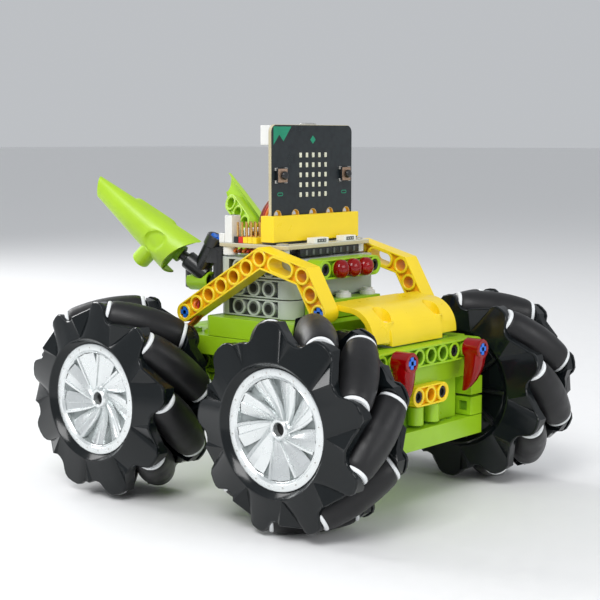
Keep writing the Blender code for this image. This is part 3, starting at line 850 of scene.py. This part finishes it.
def add_nose():
    """The front beam, and the black pins in it and in the yellow link."""
    shape = straight_beam(Shape(), NINE, 9, "Y", NOSE_Y, -56.1, LIME, LIME_SHADE)
    # Near black discs in the beam's end holes: painted shade deep in them.
    for x in (-INSERT_X, INSERT_X):
        shape.add(drum(2.5, -1, 1, 0.1), RECESS_SHADE, on_plane("Y", x, ROW_Z, -58))
    piece("nose_beam", shape, ["front_beam"])
    shape = Shape()
    for x, row in ((-16, ROW_Z), (16, ROW_Z), (-GRID, LINK_Z), (GRID, LINK_Z)):
        pin(shape, "Y", x, row, NOSE_Y + 0.4, -58)
    piece("nose_pins", shape)


def add_bumper():
    """The lower nose: floor, set-back wall, a stack of blocks at each end, two columns and the link."""
    shape = Shape()
    shape.box(LIME, (-BODY_X, NOSE_Y, FLOOR_Z), (BODY_X, -52, FLOOR_TOP), 0.3)
    shape.box(LIME, (-27.2, -56, 31), (27.2, -52, 55), 0.1)
    shape.box(LIME, (-BODY_X, -60, 48), (BODY_X, -52.6, 55.1))
    for side in SIDES:
        shape.flank(LIME, side, (27.8, BODY_X), (NOSE_Y, -55), (40.5, 47.8))
        shape.flank(LIME, side, (29.2, BODY_X), (NOSE_Y, -55), (32.1, 39.6))
        low, high = sorted((side * 27.8, side * 29.4))
        wall = [rounded_rectangle(NOSE_Y + EDGE, -55 - EDGE, 32.1 + EDGE, 39.6 - EDGE, 0.3, 2)]
        wall.append(rounded_rectangle(-61.9 - EDGE, -58.1 + EDGE, 34 - EDGE, 37.8 + EDGE, 0.2, 2)[::-1])
        shape.add(plate(wall, "X", low, high), LIME)
        # A darker green sheet behind each side wall's square hole: painted shade.
        shape.flank(LIME_SHADE, side, (29.1, 29.6), (-62.2, -57.8), (33.6, 38.2), 0.05)
        shape.flank(LIME, side, (13.5, 24.6), (-58.6, -55.5), (32, 48.2))
        shape.add(drum(3.2, 33, 40.3, 0.2), LIME, at(side * 5.4, -60.2))
    # A darker green box in the recess between the columns: painted shade.
    shape.box(LIME_SHADE, (-12.2, -58, 31.6), (12.2, -55.6, 40.4))
    # Small darker green bits along the floor's front: painted shade in its slots.
    for x in (-20, -4, 12):
        for bit in (0, 5):
            shape.box(LIME_SHADE, (x + bit, -60.5, 31.7), (x + bit + 2.2, -59.2, 32.2), 0.1)
    piece("nose_bumper", shape, ["front_bumper"])
    shape = straight_beam(Shape(), (-GRID, LINK_Z), 3, "Y", NOSE_Y, -56.2, YELLOW, YELLOW_SHADE)
    piece("nose_link", shape)


def add_claw(name, side):
    """A translucent red tooth on a blue cross axle."""
    low, high = mm(name)
    x = side * INSERT_X
    z = high.z - HALF
    back, front = high.y, low.y
    head = toward((x, back, z), FORWARD)
    shape = Shape()
    shape.add(drum(HALF, 0, back - front, 0.35, 40), RED, head)
    rings = []
    levels = (
        (z - 0.5, 3.85, 0.0, 1.0),
        (z - 3.5, 3.9, 0.0, 1.0),
        (z - 6.5, 3.6, 0.25, 0.95),
        (z - 9.5, 2.9, 0.9, 0.86),
        (z - 12.5, 2.0, 1.7, 0.72),
        (z - 15, 1.15, 2.4, 0.5),
        (low.z + 0.35, 0.5, 2.95, 0.26),
        (low.z, 0.2, 3.1, 0.14),
    )
    for level, half, lean, deep in levels:
        ring = []
        reach = (back - front) * deep
        for turn in turns(16):
            across = abs(math.cos(turn)) ** 0.6 * math.copysign(1, math.cos(turn))
            depth = abs(math.sin(turn)) ** 0.7 * math.copysign(1, math.sin(turn))
            ring.append((x - side * lean + across * half, back - reach / 2 - depth * reach / 2, level))
        rings.append(ring)
    shape.add(loft(rings), RED)
    bore = Shape().add(drum(2.5, -1, back - front + 1, 0.1), RED, head)
    piece(f"tooth_{name}", cut(shape, bore), [name])
    axle = Shape()
    cross_axle(axle, toward((x, -57, z), FORWARD), 0, -front - 57 - 0.05)
    piece(f"axle_{name}", axle)


WELL_X, WELL_Y, WELL_R, WELL_FLOOR = 16.4, -51.8, 3.6, 73.4


def hood_section(radius, bottom, thick):
    """The hood's outline in the YZ plane: a flat top, a quarter-round nose and a short skirt."""
    outer = [(-35.6, 80.5), (-44, 79.6)]
    outer += arc(-44, 79.6 - radius, radius, 90, 180, 14)[1:]
    outer += [(-44 - radius, bottom)]
    inner_radius = radius - thick
    inner = [(-44 - inner_radius, bottom)]
    inner += arc(-44, 79.6 - radius, inner_radius, 180, 90, 14)
    inner += [(-35.6, 80.5 - thick)]
    return outer + inner


def add_hood():
    """The curved yellow hood: set back at both ends, with two upright wells in its slope."""
    shape = Shape()
    shape.add(plate([hood_section(12.4, 66.6, 1.8)], "X", -27.7, 27.7, 0.25), YELLOW)
    shape.add(plate([hood_section(13.0, 65.0, 2.4)], "X", -WELL_X - 0.5, WELL_X + 0.5, 0.35), YELLOW)
    wide = WELL_R + 1.0
    wells = [at(side * WELL_X, WELL_Y) for side in SIDES]
    for place in wells:
        shape.add(drum(wide, WELL_FLOOR - 8, WELL_FLOOR + 0.6, 0.3), YELLOW, place)
        for front, back, top in ((-0.5, 1.9, 75.6), (1.8, wide, 77.2)):
            shape.add(block((-wide, front, WELL_FLOOR - 8), (wide, back, top), 0.1), YELLOW, place)
    tools = Shape()
    for place in wells:
        tools.add(drum(WELL_R, WELL_FLOOR, 90, 0.1), YELLOW, place)
    piece("hood_shell", cut(shape, tools), ["hood_panel"])
    shape = Shape()
    for side in SIDES:
        place = at(side * WELL_X, WELL_Y, WELL_FLOOR)
        shape.add(block((-1.8, -2.6, -0.3), (1.8, 1.0, 0.25), 0.1), WHITE, place)
        # The near black block behind the white one paints the shade at the back of each well.
        shape.add(block((-1.8, 1.0, -0.3), (1.8, 2.4, 0.15), 0.1), RECESS_SHADE, place)
    piece("hood_bosses", shape)


def add_side_arm(name, side):
    """The double-bent yellow beam with its slot."""
    rear, top = Vector((35.3, 72.5)), Vector((-6.1, 96.9))
    knee, front = Vector((-28.0, 91.2)), Vector((-36.1, 77.4))
    rise = (top - rear).normalized()
    fall = (knee - top).normalized()
    drop = (front - knee).normalized()
    holes = [top - rise * GRID * i for i in range(6)] + [rear, knee, knee + drop * GRID, front]
    slot = [top + fall * GRID, knee - fall * GRID]
    low, high = sorted((side * 28, side * 36))
    shape = Shape()
    line = [rear, top, knee, front]
    beam(shape, line, [tuple(h) for h in holes], "X", low, high, YELLOW, YELLOW_SHADE, [slot])
    piece(f"beam_{name}", shape, [name])
    pins = Shape()
    for place in (front, rear):
        spot = on_plane("X", place.x, place.y, side * 32)
        cross_axle(pins, spot, -3.6, 3.6)
    piece(f"pins_{name}", pins)


FRAME_Z = 72
FRAME_X, FRAME_FRONT, FRAME_BACK = 28, -16, 24


def add_frames():
    """Three grey frames stacked, with a pocketed row of holes in each side."""
    for level in range(3):
        bottom = FRAME_Z + 0.3 + GRID * level + (0 if level == 0 else -0.1)
        top = FRAME_Z + GRID * (level + 1) - 0.2
        shape = Shape()
        reach = FRAME_X - EDGE
        outline = rounded_rectangle(-reach, reach, FRAME_FRONT + EDGE, FRAME_BACK - EDGE, 6 - EDGE)
        window = rounded_rectangle(-20 - EDGE, 20 + EDGE, -8 - EDGE, 16 + EDGE, 1.2)
        shape.add(plate([outline, window], "Z", bottom, top), GREY)
        tools = Shape()
        middle = (bottom + top) / 2
        # The cutters' dark grey passes to the pocket walls: painted shade in the pockets.
        for side in SIDES:
            tools.flank(DARK_GREY_AND_SHADE, side, (25.4, 29), (-9.2, 17.2), (middle - 3.1, middle + 3.1), 0)
        replaced = ["frame_stack"] if level == 0 else []
        piece(f"frame_{level + 1}", cut(shape, tools), replaced)
        rings = Shape()
        for side in SIDES:
            for y in (-HALF, HALF, HALF + GRID):
                near, far = sorted((side * 25, side * 27.95))
                long_half = (far - near) / 2
                spot = on_plane("X", y, middle, (near + far) / 2)
                rings.add(tube(RING_R, HOLE_R, -long_half, long_half), GREY, spot)
                # Dark grey linings and a near black plug in each hole: painted shade.
                rings.add(tube(HOLE_R, 1.7, -long_half, long_half - 0.8, 0.1), DARK_GREY_AND_SHADE, spot)
                rings.add(drum(1.9, -long_half, long_half - 2.2, 0.1), RECESS_SHADE, spot)
        piece(f"frame_rings_{level + 1}", rings)


def add_lights():
    """The lime beam across the front frame, its three red domes and two black pins, and a lower piece."""
    shape = straight_beam(Shape(), (-16, 92), 5, "Y", -24, -16.3, LIME, LIME_SHADE)
    shape.box(LIME, (-20, -23.8, 72.4), (20, -16.3, 79.7))
    piece("light_bar", shape, ["light_beam"])
    pins = Shape()
    for x in (-16, 16):
        pin(pins, "Y", x, 92, -23.8, -17)
    piece("light_pins", pins)
    lamps = Shape()
    dome = [(0, 0), (3.6, 0), (3.75, 0.3), (3.75, 1.6)]
    dome += [(3.75 * math.cos(a), 1.6 + 2.6 * math.sin(a)) for a in (0.25, 0.5, 0.75, 1.0, 1.25)]
    dome += [(0, 4.2)]
    for x in (-GRID, 0, GRID):
        lamps.add(lathe(dome), RED, toward((x, -24.05, 92), FORWARD))
        lamps.add(drum(2.3, 0, 5, 0.1, 20), RED, toward((x, -19.2, 92), FORWARD))
    piece("light_domes", lamps)
    studs = Shape()
    for x in (-16, 0, 16):
        place = at(x, -20.1, 79.5)
        studs.add(drum(3.2, 0, 1.9, 0.3), WHITE, place)
        studs.add(tube(2.2, 1.1, 1.5, 3.0, 0.2), WHITE, place)
    piece("light_studs", studs)


# Boards

BOARD_TOP = 101.5
BOARD_CHIPS = ((-4, 14, 5, 5), (4, 19, 6, 3), (20, 18, 4, 5), (-6, 20.5, 4, 2.2), (19, 6, 5, 3))
HEADER_X, HEADER_Y = (-25.4, -22.9, -20.4, -17.9), (4.6, 7.1, 9.6, 12.1, 14.6)
CARD_FRONT, CARD_REAR, CARD_EDGE = -3.9, -2.3, 0.12
CARD_CHIPS = ((-4, 127, 7, 7), (7, 130, 5, 5), (-15, 124, 4, 3), (12, 140, 4, 3), (-10, 137, 3, 3))
DRILLS, DRILL_Z = [11 * i for i in range(-2, 3)], 112.9
MATRIX_Z, MATRIX_PITCH = 129, 4.0
BUTTON_X = 20.4


def add_header(shape, x, y, base, finish):
    """One header pin in its square base."""
    shape.box(finish, (x - 1.2, y - 1.2, base), (x + 1.2, y + 1.2, base + 2.6), 0.25)
    shape.box(GOLD, (x - 0.33, y - 0.33, base + 2), (x + 0.33, y + 0.33, base + 8.4), 0.1)


def jst(shape, low, high, open_side):
    """A white plug housing with its slot facing a side."""
    shape.box(WHITE, low, high, 0.25)
    low, high = Vector(low), Vector(high)
    middle = (low + high) / 2
    half = (high - low) / 2 * 0.62
    face = Vector(open_side)
    shift = Vector([f * (h - l) / 2 for f, l, h in zip(face, low, high)])
    size = Vector([0.12 if f else h for f, h in zip(face, half)])
    spot = middle + shift
    # A thin dark grey sheet on the open side: painted shade in the slot.
    shape.box(DARK_GREY_AND_SHADE, spot - size, spot + size, 0.05)
    long_axis = 0 if half.x > half.y else 1
    for i in range(3):
        place = spot.copy()
        place[long_axis] += (i - 1) * half[long_axis] * 0.6
        size = Vector((0.3, 0.3, 0.3))
        shape.box(TIN, place - size, place + size, 0.05)


def add_expansion_board():
    """The pale board on white spacers, with its chips."""
    top = BOARD_TOP
    shape = Shape()
    outline = rounded_rectangle(-27.6 + EDGE, 27.6 - EDGE, -13 + EDGE, 24 - EDGE, 2)
    shape.add(plate([outline], "Z", 99.9, top - 0.15), BOARD_EDGE)
    inside = rounded_rectangle(-27.5, 27.5, -12.9, 23.9, 1.9)
    shape.add(plate([inside], "Z", top - 0.3, top, 0.05), BOARD)
    for x in (-24, 24):
        for y in (-GRID, 20):
            shape.add(drum(3, 96.3, 100, 0.3), WHITE, at(x, y))
            shape.add(tube(2.6, 1.3, top, top + 0.6, 0.15), TIN, at(x, y))
            # A near black plug in each ring's hole: painted shade.
            shape.add(drum(1.4, top - 0.05, top + 0.3, 0.1, 16), RECESS_SHADE, at(x, y))
    for row in range(8):
        y = 5.2 + row * 1.5
        shape.box(TIN, (9.5, y, top), (11.2, y + 0.7, top + 0.5), 0.1)
    for x, y, width, depth in BOARD_CHIPS:
        shape.box(BLACK, (x, y, top), (x + width, y + depth, top + 1.1), 0.15)
    piece("board_plate", shape, ["expansion_board"])


def add_board_sockets():
    """The card's edge connector, the header rows and the plug housings on the expansion board."""
    top = BOARD_TOP
    socket_top = mm("expansion_board")[1].z
    shape = Shape()
    outer = [rounded_rectangle(-27.7 + 0.3, 27.7 - 0.3, -6.4 + 0.3, 0.4 - 0.3, 0.4, 3)]
    outer.append(rounded_rectangle(-26.1 - 0.3, 26.1 + 0.3, -4.2 - 0.3, -2.0 + 0.3, 0.2, 3)[::-1])
    shape.add(plate(outer, "Z", top + 1.0, socket_top, 0.3), YELLOW)
    shape.box(BLACK, (-27, -5.9, top + 0.4), (27, -0.1, top + 4.5), 0.1)
    piece("edge_connector", shape)
    shape = Shape()
    for y, finish in zip(HEADER_Y, (YELLOW, YELLOW, YELLOW, ROW_RED, BLACK)):
        for x in HEADER_X:
            add_header(shape, x, y, top + 0.05, finish)
    piece("pin_headers", shape)
    shape = Shape()
    jst(shape, (-27, 16.4, top), (-21.6, 20.4, 112.6), (0, 0, 1))
    jst(shape, (-27, 20.6, top), (-20, 23.6, 105.2), (0, 0, 1))
    for left, right in ((-9.5, -0.5), (9.5, 17.5)):
        jst(shape, (left, -12.8, top), (right, -8.6, 103.8), FORWARD)
    for left in (12, -12):
        jst(shape, (left, 18.6, top), (left + 8, 23.6, 106.5), (0, 1, 0))
    shape.box(BLACK, (-17.3, 5.6, top), (-11, 14.4, 105.9), 0.3)
    shape.box(BLACK, (9, 8.1, top), (17, 15.9, 105.9), 0.3)
    piece("board_sockets", shape)


def add_board_underside():
    """The parts below the expansion board."""
    shape = Shape()
    shape.box(BLACK, (-18, -12.5, 96.7), (20, -7.5, 99.8), 0.3)
    for i in range(8):
        x = -15 + i * 4.4
        shape.box(DARK_GREY_AND_SHADE, (x, -12.9, 97.2), (x + 1.1, -7.4, 99.3), 0.1)
    for x in (-20, -12, 4, 14):
        shape.box(BLACK, (x, 2, 97.2), (x + 5, 9, 99.9), 0.2)
    piece("board_underside", shape)


def add_under_wires():
    """The leads under the board's corner, and a bundle on each side down to the rear motors."""
    shape = Shape()
    for i, finish in enumerate((ORANGE, DARK_RED, ORANGE, BROWN, ORANGE)):
        y = 6 + i * 2.4
        route = [(-24.5, y, 99.2), (-25.8, y + 0.6, 98.2), (-23, y + 1.2, 97.6), (-18, y, 98.6)]
        shape.add(sweep(curve_through(route, 4), 0.5), finish)
    for side in SIDES:
        for i, finish in enumerate((ORANGE, BROWN, DARK_RED, ORANGE)):
            x = side * (30.2 + 1.3 * i)
            top, bend = (side * 26, 27.2, 82 - i), (x, 27.5 + i, 77)
            route = [top, bend, (x + side * 0.5, 30, 71), (x, 36, 66.5), (x, 44, 64.9)]
            shape.add(sweep(curve_through(route, 4), 0.6), finish)
    piece("motor_leads", shape)


def add_card_plate():
    """The upright card's board, with five gold-ringed holes."""
    front, rear, edge = CARD_FRONT, CARD_REAR, CARD_EDGE
    shape = Shape()
    outline = rounded_rectangle(-25.8 + edge, 25.8 - edge, 107, 149.2 - edge, 3)
    drills = [circle(x, DRILL_Z, 2.1 + edge)[::-1] for x in DRILLS]
    shape.add(plate([outline, *drills], "Y", front + 0.1, rear - 0.1, edge), BOARD_EDGE)
    for face in (front, rear - 0.3):
        skin = [rounded_rectangle(-25.6, 25.6, 107.2, 149.0, 2.8)]
        skin += [circle(x, DRILL_Z, 2.4)[::-1] for x in DRILLS]
        shape.add(plate(skin, "Y", face, face + 0.3, 0.03), CARD)
    for x in DRILLS:
        spot = on_plane("Y", x, DRILL_Z, (front + rear) / 2)
        shape.add(tube(2.45, 2.0, -0.85, 0.85, 0.1), GOLD, spot)
    piece("controller_plate", shape, ["controller_board"])


def add_card_front():
    """The card's light matrix, contact strips, plain marks and button bodies."""
    shape = Shape()
    face = CARD_FRONT - 0.02
    for column in range(5):
        for row in range(5):
            x, z = (column - 2) * MATRIX_PITCH, MATRIX_Z + (row - 2) * MATRIX_PITCH
            for dx in SIDES:
                lamp = block((x - 0.28, face - 0.4, z - 0.95), (x + 0.28, face + 0.1, z + 0.95), 0.1)
                shape.add(lamp, LED, at(dx * 0.3, 0))
    for i in range(21):
        x = -25 + i * 2.5
        shape.box(GOLD, (x, face - 0.05, 107.2), (x + 1.3, face + 0.1, 110.2), 0.03)
    piece("card_lamps", shape)
    shape = Shape()
    corner = [(-24.4, 148.4), (-24.4, 141.2), (-21.0, 145.2), (-18.4, 142.6), (-13.6, 148.4)]
    marks = [[corner], [circle(0, 143.2, 1.7, 4)]]
    for side in SIDES:
        bar = [(side * BUTTON_X - 1, 121.5), (side * BUTTON_X + 1, 121.5)]
        marks.append([strip(bar, 0.7, 12), strip(bar, 0.7 - 0.3, 12)[::-1]])
    for mark in marks:
        shape.add(plate(mark, "Y", face - 0.04, face + 0.1, 0.02), MARK_GREEN)
    piece("card_marks", shape)
    shape = Shape()
    for side in SIDES:
        x = side * BUTTON_X
        shape.box(BLACK, (x - 2.9, face - 1.3, 126.1), (x + 2.9, face, 131.9), 0.2)
        shape.box(BRONZE, (x - 2.7, face - 1.55, 126.3), (x + 2.7, face - 1.2, 131.7), 0.1)
        for dx in SIDES:
            for dz in SIDES:
                leg_x, leg_z = x + dx * 2.9, MATRIX_Z + dz * 2.5
                low_corner = (leg_x - 0.8, face - 0.7, leg_z - 0.6)
                shape.box(TIN, low_corner, (leg_x + 0.8, face + 0.05, leg_z + 0.6), 0.15)
    piece("button_bodies", shape)


def add_card_back():
    """The card's two sockets, chips, small parts and back button."""
    shape = Shape()
    back = CARD_REAR + 0.05
    shape.box(TIN, (-3.8, back - 0.5, 144.6), (3.8, back + 2.45, 149.9), 0.4)
    # A near black sheet in the metal socket's mouth: painted shade.
    shape.box(RECESS_SHADE, (-3.0, back, 149.6), (3.0, back + 1.9, 149.95), 0.05)
    shape.box(WHITE, (-24.4, back - 0.4, 141.1), (-15.1, back + 5.4, 148.9), 0.3)
    # A dark grey sheet in the white socket's mouth: painted shade.
    shape.box(DARK_GREY_AND_SHADE, (-23.4, back + 0.9, 148.6), (-16.1, back + 4.6, 148.95), 0.05)
    for x, z, width, tall in CARD_CHIPS:
        shape.box(BLACK, (x, back - 0.1, z), (x + width, back + 0.9, z + tall), 0.12)
    for i in range(14):
        x, z = -22 + (i * 7) % 43, 118 + (i * 5) % 17
        shape.box(TIN, (x, back - 0.1, z), (x + 1.6, back + 0.5, z + 0.8), 0.1)
    shape.box(TIN, (13, back - 0.1, 143.5), (17.4, back + 1.6, 147.9), 0.2)
    shape.add(drum(1.2, 0, 2.3, 0.2, 20), BLACK, toward((15.2, back, 145.7), (0, 1, 0)))
    piece("card_back_parts", shape)


def add_button(name):
    """The plunger of a side button."""
    low, high = mm(name)
    middle = (low + high) / 2
    shape = Shape()
    tall = high.y - low.y
    profile = [(0, 0), (1.65, 0), (1.7, 0.1), (1.7, tall - 0.45), (1.45, tall - 0.12), (1.1, tall)]
    shape.add(lathe(profile + [(0, tall - 0.05)], 28), BLACK, toward((middle.x, high.y, middle.z), FORWARD))
    piece(f"plunger_{name}", shape, [name], name)


LEAD_ROUTE = (
    (-14, 11, 106.4), (-14, 10.6, 112), (-12, 8.5, 117.5), (-7, 6, 121.5), (0, 5.5, 123),
    (7, 7, 121), (11.5, 10, 116), (13, 12, 111), (13, 12, 106.4),
)
LEAD_WIDE = 3.8


def add_lead():
    """The flat lead of three wires that arches behind the card between two plugs."""
    path = curve_through(LEAD_ROUTE, 3)
    shape = Shape()
    wire = LEAD_WIDE / 6
    for lane, finish in ((-1, ORANGE), (0, DARK_RED), (1, BROWN)):
        shape.add(sweep([p + Vector((0, lane * 2 * wire, 0)) for p in path], wire, 12), finish)
    obj = piece("signal_lead", shape, ["signal_cable"])


# Wings and their bracket. U runs from a wing's base to its tip, V from its lower to its upper edge.

WING_BASE_LOW, WING_BASE_HIGH = Vector((24, 54, 87)), Vector((24, 37.5, 100.5))
WING_TIP_LOW, WING_TIP_HIGH = Vector((40.5, 81.5, 118.8)), Vector((40.5, 80, 127.6))
WING_AXIS_BASE = (WING_BASE_LOW + WING_BASE_HIGH) / 2
WING_ALONG = ((WING_TIP_LOW + WING_TIP_HIGH) / 2 - WING_AXIS_BASE).normalized()
WING_LONG, WING_WIDE = 48, 20
WING_THICK, WING_BELLY = 1.5, 9.5
BULKHEAD, RIB_DEEP = (0.035, 0.09), 6.0
BOSS_U, BOSS_V = 0.25, 0.13
BEAM_U, BEAM_IN = 0.33, 5.6
DIMPLE_U, DIMPLE_V, DIMPLE_R, DIMPLE_DEEP = 0.235, 0.6, 5.0, 1.6
WING_SCOOP = 5.0
BRACKET_X = 20


def wing_point(u, v, side, depth):
    """A point of the wing: u from base to tip, v from lower to upper edge, depth towards its inside."""
    low = WING_BASE_LOW.lerp(WING_TIP_LOW, u)
    high = WING_BASE_HIGH.lerp(WING_TIP_HIGH, u)
    outward = WING_ALONG.cross(high - low).normalized()
    if outward.x < 0:
        outward = -outward
    bow = math.sqrt(max(0.0, 1 - (2 * v - 1) ** 2))
    belly = (WING_BELLY - 5.5 * u * u - 2 * u) * bow
    from_dimple = math.hypot((u - DIMPLE_U) * WING_LONG, (v - DIMPLE_V) * WING_WIDE) / DIMPLE_R
    dimple = DIMPLE_DEEP * max(0.0, 1 - from_dimple**6)
    scoop = WING_ALONG * WING_SCOOP * (1 - u) ** 3 * bow
    place = low.lerp(high, v) + outward * (belly - depth - dimple) + scoop
    return Vector((side * place.x, place.y, place.z))


def wing_sheet(side, lengths=44, widths=36):
    """The wing's curved skin as a solid sheet."""
    rings = []
    shares = [0.5 - 0.5 * math.cos(math.pi * k / widths) for k in range(widths + 1)]
    for i in range(lengths + 1):
        u = i / lengths
        outer = [wing_point(u, v, side, 0) for v in shares]
        inner = [wing_point(u, v, side, WING_THICK * (1 - 0.4 * u)) for v in reversed(shares)]
        rings.append(outer + inner)
    return loft(rings)


def add_wing(name, side):
    """A tapering curved shell, open at the base, ribbed inside, with a boss on its lower edge."""
    shape = Shape()
    shape.add(wing_sheet(side), WING_LIME)
    shares = [0.04 + 0.92 * k / 12 for k in range(13)]
    floor = []
    for u in BULKHEAD:
        rim = [wing_point(u, v, side, 1.0) for v in shares]
        chord = [rim[-1].lerp(rim[0], k / 12) for k in range(1, 12)]
        floor.append(rim + chord)
    # The bulkhead is darker green: painted shade inside the shell.
    shape.add(loft(floor), LIME_SHADE)
    for k in range(2, 11):
        ribs = []
        for u in (0.0, BULKHEAD[1]):
            near, far = (wing_point(u, shares[k], side, depth) for depth in (1.0, RIB_DEEP))
            across = (wing_point(u, shares[k + 1], side, 1.0) - near).normalized() * 0.3
            ribs.append([near - across, near + across, far + across, far - across])
        shape.add(loft(ribs), LIME)
    boss_at = wing_point(BOSS_U, BOSS_V, side, WING_THICK)
    down = (WING_BASE_LOW - WING_BASE_HIGH).normalized()
    shape.add(tube(HALF, 2.6, -4.5, 4.8, 0.3), WING_LIME, toward(boss_at + down * 1.5, down))
    upper = (WING_TIP_HIGH - WING_BASE_HIGH).normalized()
    normal = upper.cross(down).normalized()
    across = normal.cross(upper)
    start = WING_BASE_HIGH.lerp(WING_TIP_HIGH, BEAM_U) + across * BEAM_IN
    local = Matrix((upper, across, normal)).transposed().to_4x4()
    place = Matrix.Scale(side, 4, (1, 0, 0)) @ Matrix.Translation(start) @ local
    holes = [(0, 0), (GRID, 0), (2 * GRID, 0)]
    beam(shape, [holes[0], holes[-1]], holes, "Z", 0.6, 5.8, WING_LIME, LIME, place=place)
    flip = Vector((side, 1, 1))
    base_ring = toward(WING_AXIS_BASE * flip, WING_ALONG * flip)
    # The ring inside the wing's base is darker green: painted shade.
    shape.add(tube(3.9, 2.5, 2.0, 16, 0.25), LIME_SHADE, base_ring)
    piece(f"shell_{name}", shape, [name], name)


def add_bracket():
    """Crossbar, posts, angled connectors with blue axle ends, and a lime tube on each side."""
    shape = Shape()
    straight_beam(shape, (-20, 84), 6, "Y", 24.3, 32, BLACK, RECESS_SHADE)
    tubes = Shape()
    blue = Shape()
    for side in SIDES:
        x = side * BRACKET_X
        flip = Vector((side, 1, 1))
        along = WING_ALONG * flip
        head = Vector((x, 32.2, 101.8))
        elbow = WING_AXIS_BASE * flip - along * 8.5
        shape.add(drum(3.4, 84, 99, 0.4), BLACK, at(x, 29))
        upper = toward(head, elbow - head)
        shape.add(drum(3.7, -1, (elbow - head).length + 2.5, 0.5), BLACK, upper)
        shape.add(tube(4.1, 2.6, -1.6, 3.4, 0.4), BLACK, upper)
        cross_axle(blue, upper, -1.9, 2.0)
        blue.add(drum(2.55, -1.4, 1, 0.1), BLUE, upper)
        for radius, low, high, edge in ((3.9, -3.4, 7.8, 0.5), (2.2, 0, 16, 0.3)):
            shape.add(drum(radius, low, high, edge), BLACK, toward(elbow, along))
        shape.box(BLACK, (x - 3.5, 28, 92), (x + 3.5, 36.5, 98.5), 0.6)
        shape.add(drum(3.2, 0, 13, 0.4), BLACK, toward((x, 45.5, 94), (0, 0, -1)))
        low_tube = toward((x, 34.5, 84.3), (0, 1, -0.04))
        tubes.add(tube(HALF, 2.9, 0, 11.5, 0.3), LIME, low_tube)
        # A near black plug inside the lime tube: painted shade.
        tubes.add(drum(3, 3.0, 8, 0.1), RECESS_SHADE, low_tube)
        tubes.box(RED, (x - 1.2, 39.5, 88), (x + 1.2, 42, 93), 0.3)
    piece("bracket_arms", shape, ["wing_bracket"])
    piece("bracket_axles", blue)
    piece("bracket_tubes", tubes)


def add_motors(name, sign):
    """A pair of geared motors back to back, with a shaft stub to each wheel."""
    near, far = sorted((sign * 35.2, sign * 51.5))
    shape = Shape()
    for side in SIDES:
        shape.flank(BLACK, side, (8, 38.9), (near + 0.3, far), (32.4, 55.6), 0.8)
        for i in range(4):
            x = side * (14 + i * 6)
            shape.box(DARK_GREY_AND_SHADE, (x - 1, near, FLOOR_TOP + 0.5), (x + 1, far + 0.05, 55.7), 0.3)
        shaft = toward((0, sign * 48, WHEEL_R), (side, 0, 0))
        shape.add(drum(3.4, 38, 41.5, 0.3, 24), BLACK, shaft)
        shape.add(tube(5.2, 3.5, 38.6, 40.2, 0.3), GREY, shaft)
    shape.box(BLACK, (-8.5, near + 1, 34), (8.5, far - 1, 54), 0.6)
    piece(f"gearbox_{name}", shape, [name])


# Stage: places in metres, lens and sensor in millimetres, lamp powers in watts

LENS, SENSOR = 85.52, 36
CAMERA, CAMERA_TARGET = Vector((-0.4514, -0.3775, 0.1434)), Vector((0.0005, 0.0034, 0.0767))
LIGHT_TARGET = Vector((0, 0, 0.06))
LIGHTS = (
    ("key", (-0.75, -0.35, 0.85), (0.5, 0.5), 7.5),
    ("front_fill", (0.15, -1.0, 0.45), (0.6, 0.4), 2.4),
    ("rim", (-0.05, 0.95, 0.62), (0.9, 0.5), 8),
)
FLOOR_SIZE = 20
SKY, SKY_POWER = (0.93, 0.96, 1.0, 1), 0.55


def add_camera():
    """The camera at the angle from which the object is shown."""
    data = bpy.data.cameras.new("camera")
    data.lens = LENS
    data.sensor_width = SENSOR
    camera = link("camera", data)
    camera.matrix_world = toward(CAMERA, CAMERA_TARGET - CAMERA, "-Z")
    bpy.context.scene.camera = camera
    bpy.context.scene.view_settings.view_transform = "Standard"


def add_light(name, spot, size, power):
    """A soft rectangular lamp that looks at the object."""
    data = bpy.data.lights.new(name, "AREA")
    data.shape = "RECTANGLE"
    data.size, data.size_y = size
    data.energy = power
    link(name, data).matrix_world = toward(spot, LIGHT_TARGET - Vector(spot), "-Z")


def add_stage():
    """A plain pale floor, a pale sky and three soft lamps."""
    work = bmesh.new()
    bmesh.ops.create_grid(work, x_segments=1, y_segments=1, size=FLOOR_SIZE)
    data = to_mesh(work)
    data.materials.append(moulded("floor", (0.86, 0.86, 0.86), 0.7, grain=0.0, tint=0.005))
    link("floor", data)
    world = bpy.data.worlds.new("studio")
    bpy.context.scene.world = world
    world.use_nodes = True
    sky = world.node_tree.nodes["Background"]
    sky.inputs["Color"].default_value = SKY
    sky.inputs["Strength"].default_value = SKY_POWER
    for light in LIGHTS:
        add_light(*light)


add_camera()
add_stage()
add_lead()
add_wheels()
add_chassis()
add_nose()
add_bumper()
add_claw("claw_left", -1)
add_claw("claw_right", 1)
add_hood()
add_side_arm("side_arm_left", -1)
add_side_arm("side_arm_right", 1)
add_frames()
add_lights()
add_expansion_board()
add_board_sockets()
add_board_underside()
add_under_wires()
add_card_plate()
add_card_front()
add_card_back()
add_button("button_left")
add_button("button_right")
add_wing("wing_left", -1)
add_wing("wing_right", 1)
add_bracket()
add_motors("front_motors", -1)
add_motors("rear_motors", 1)
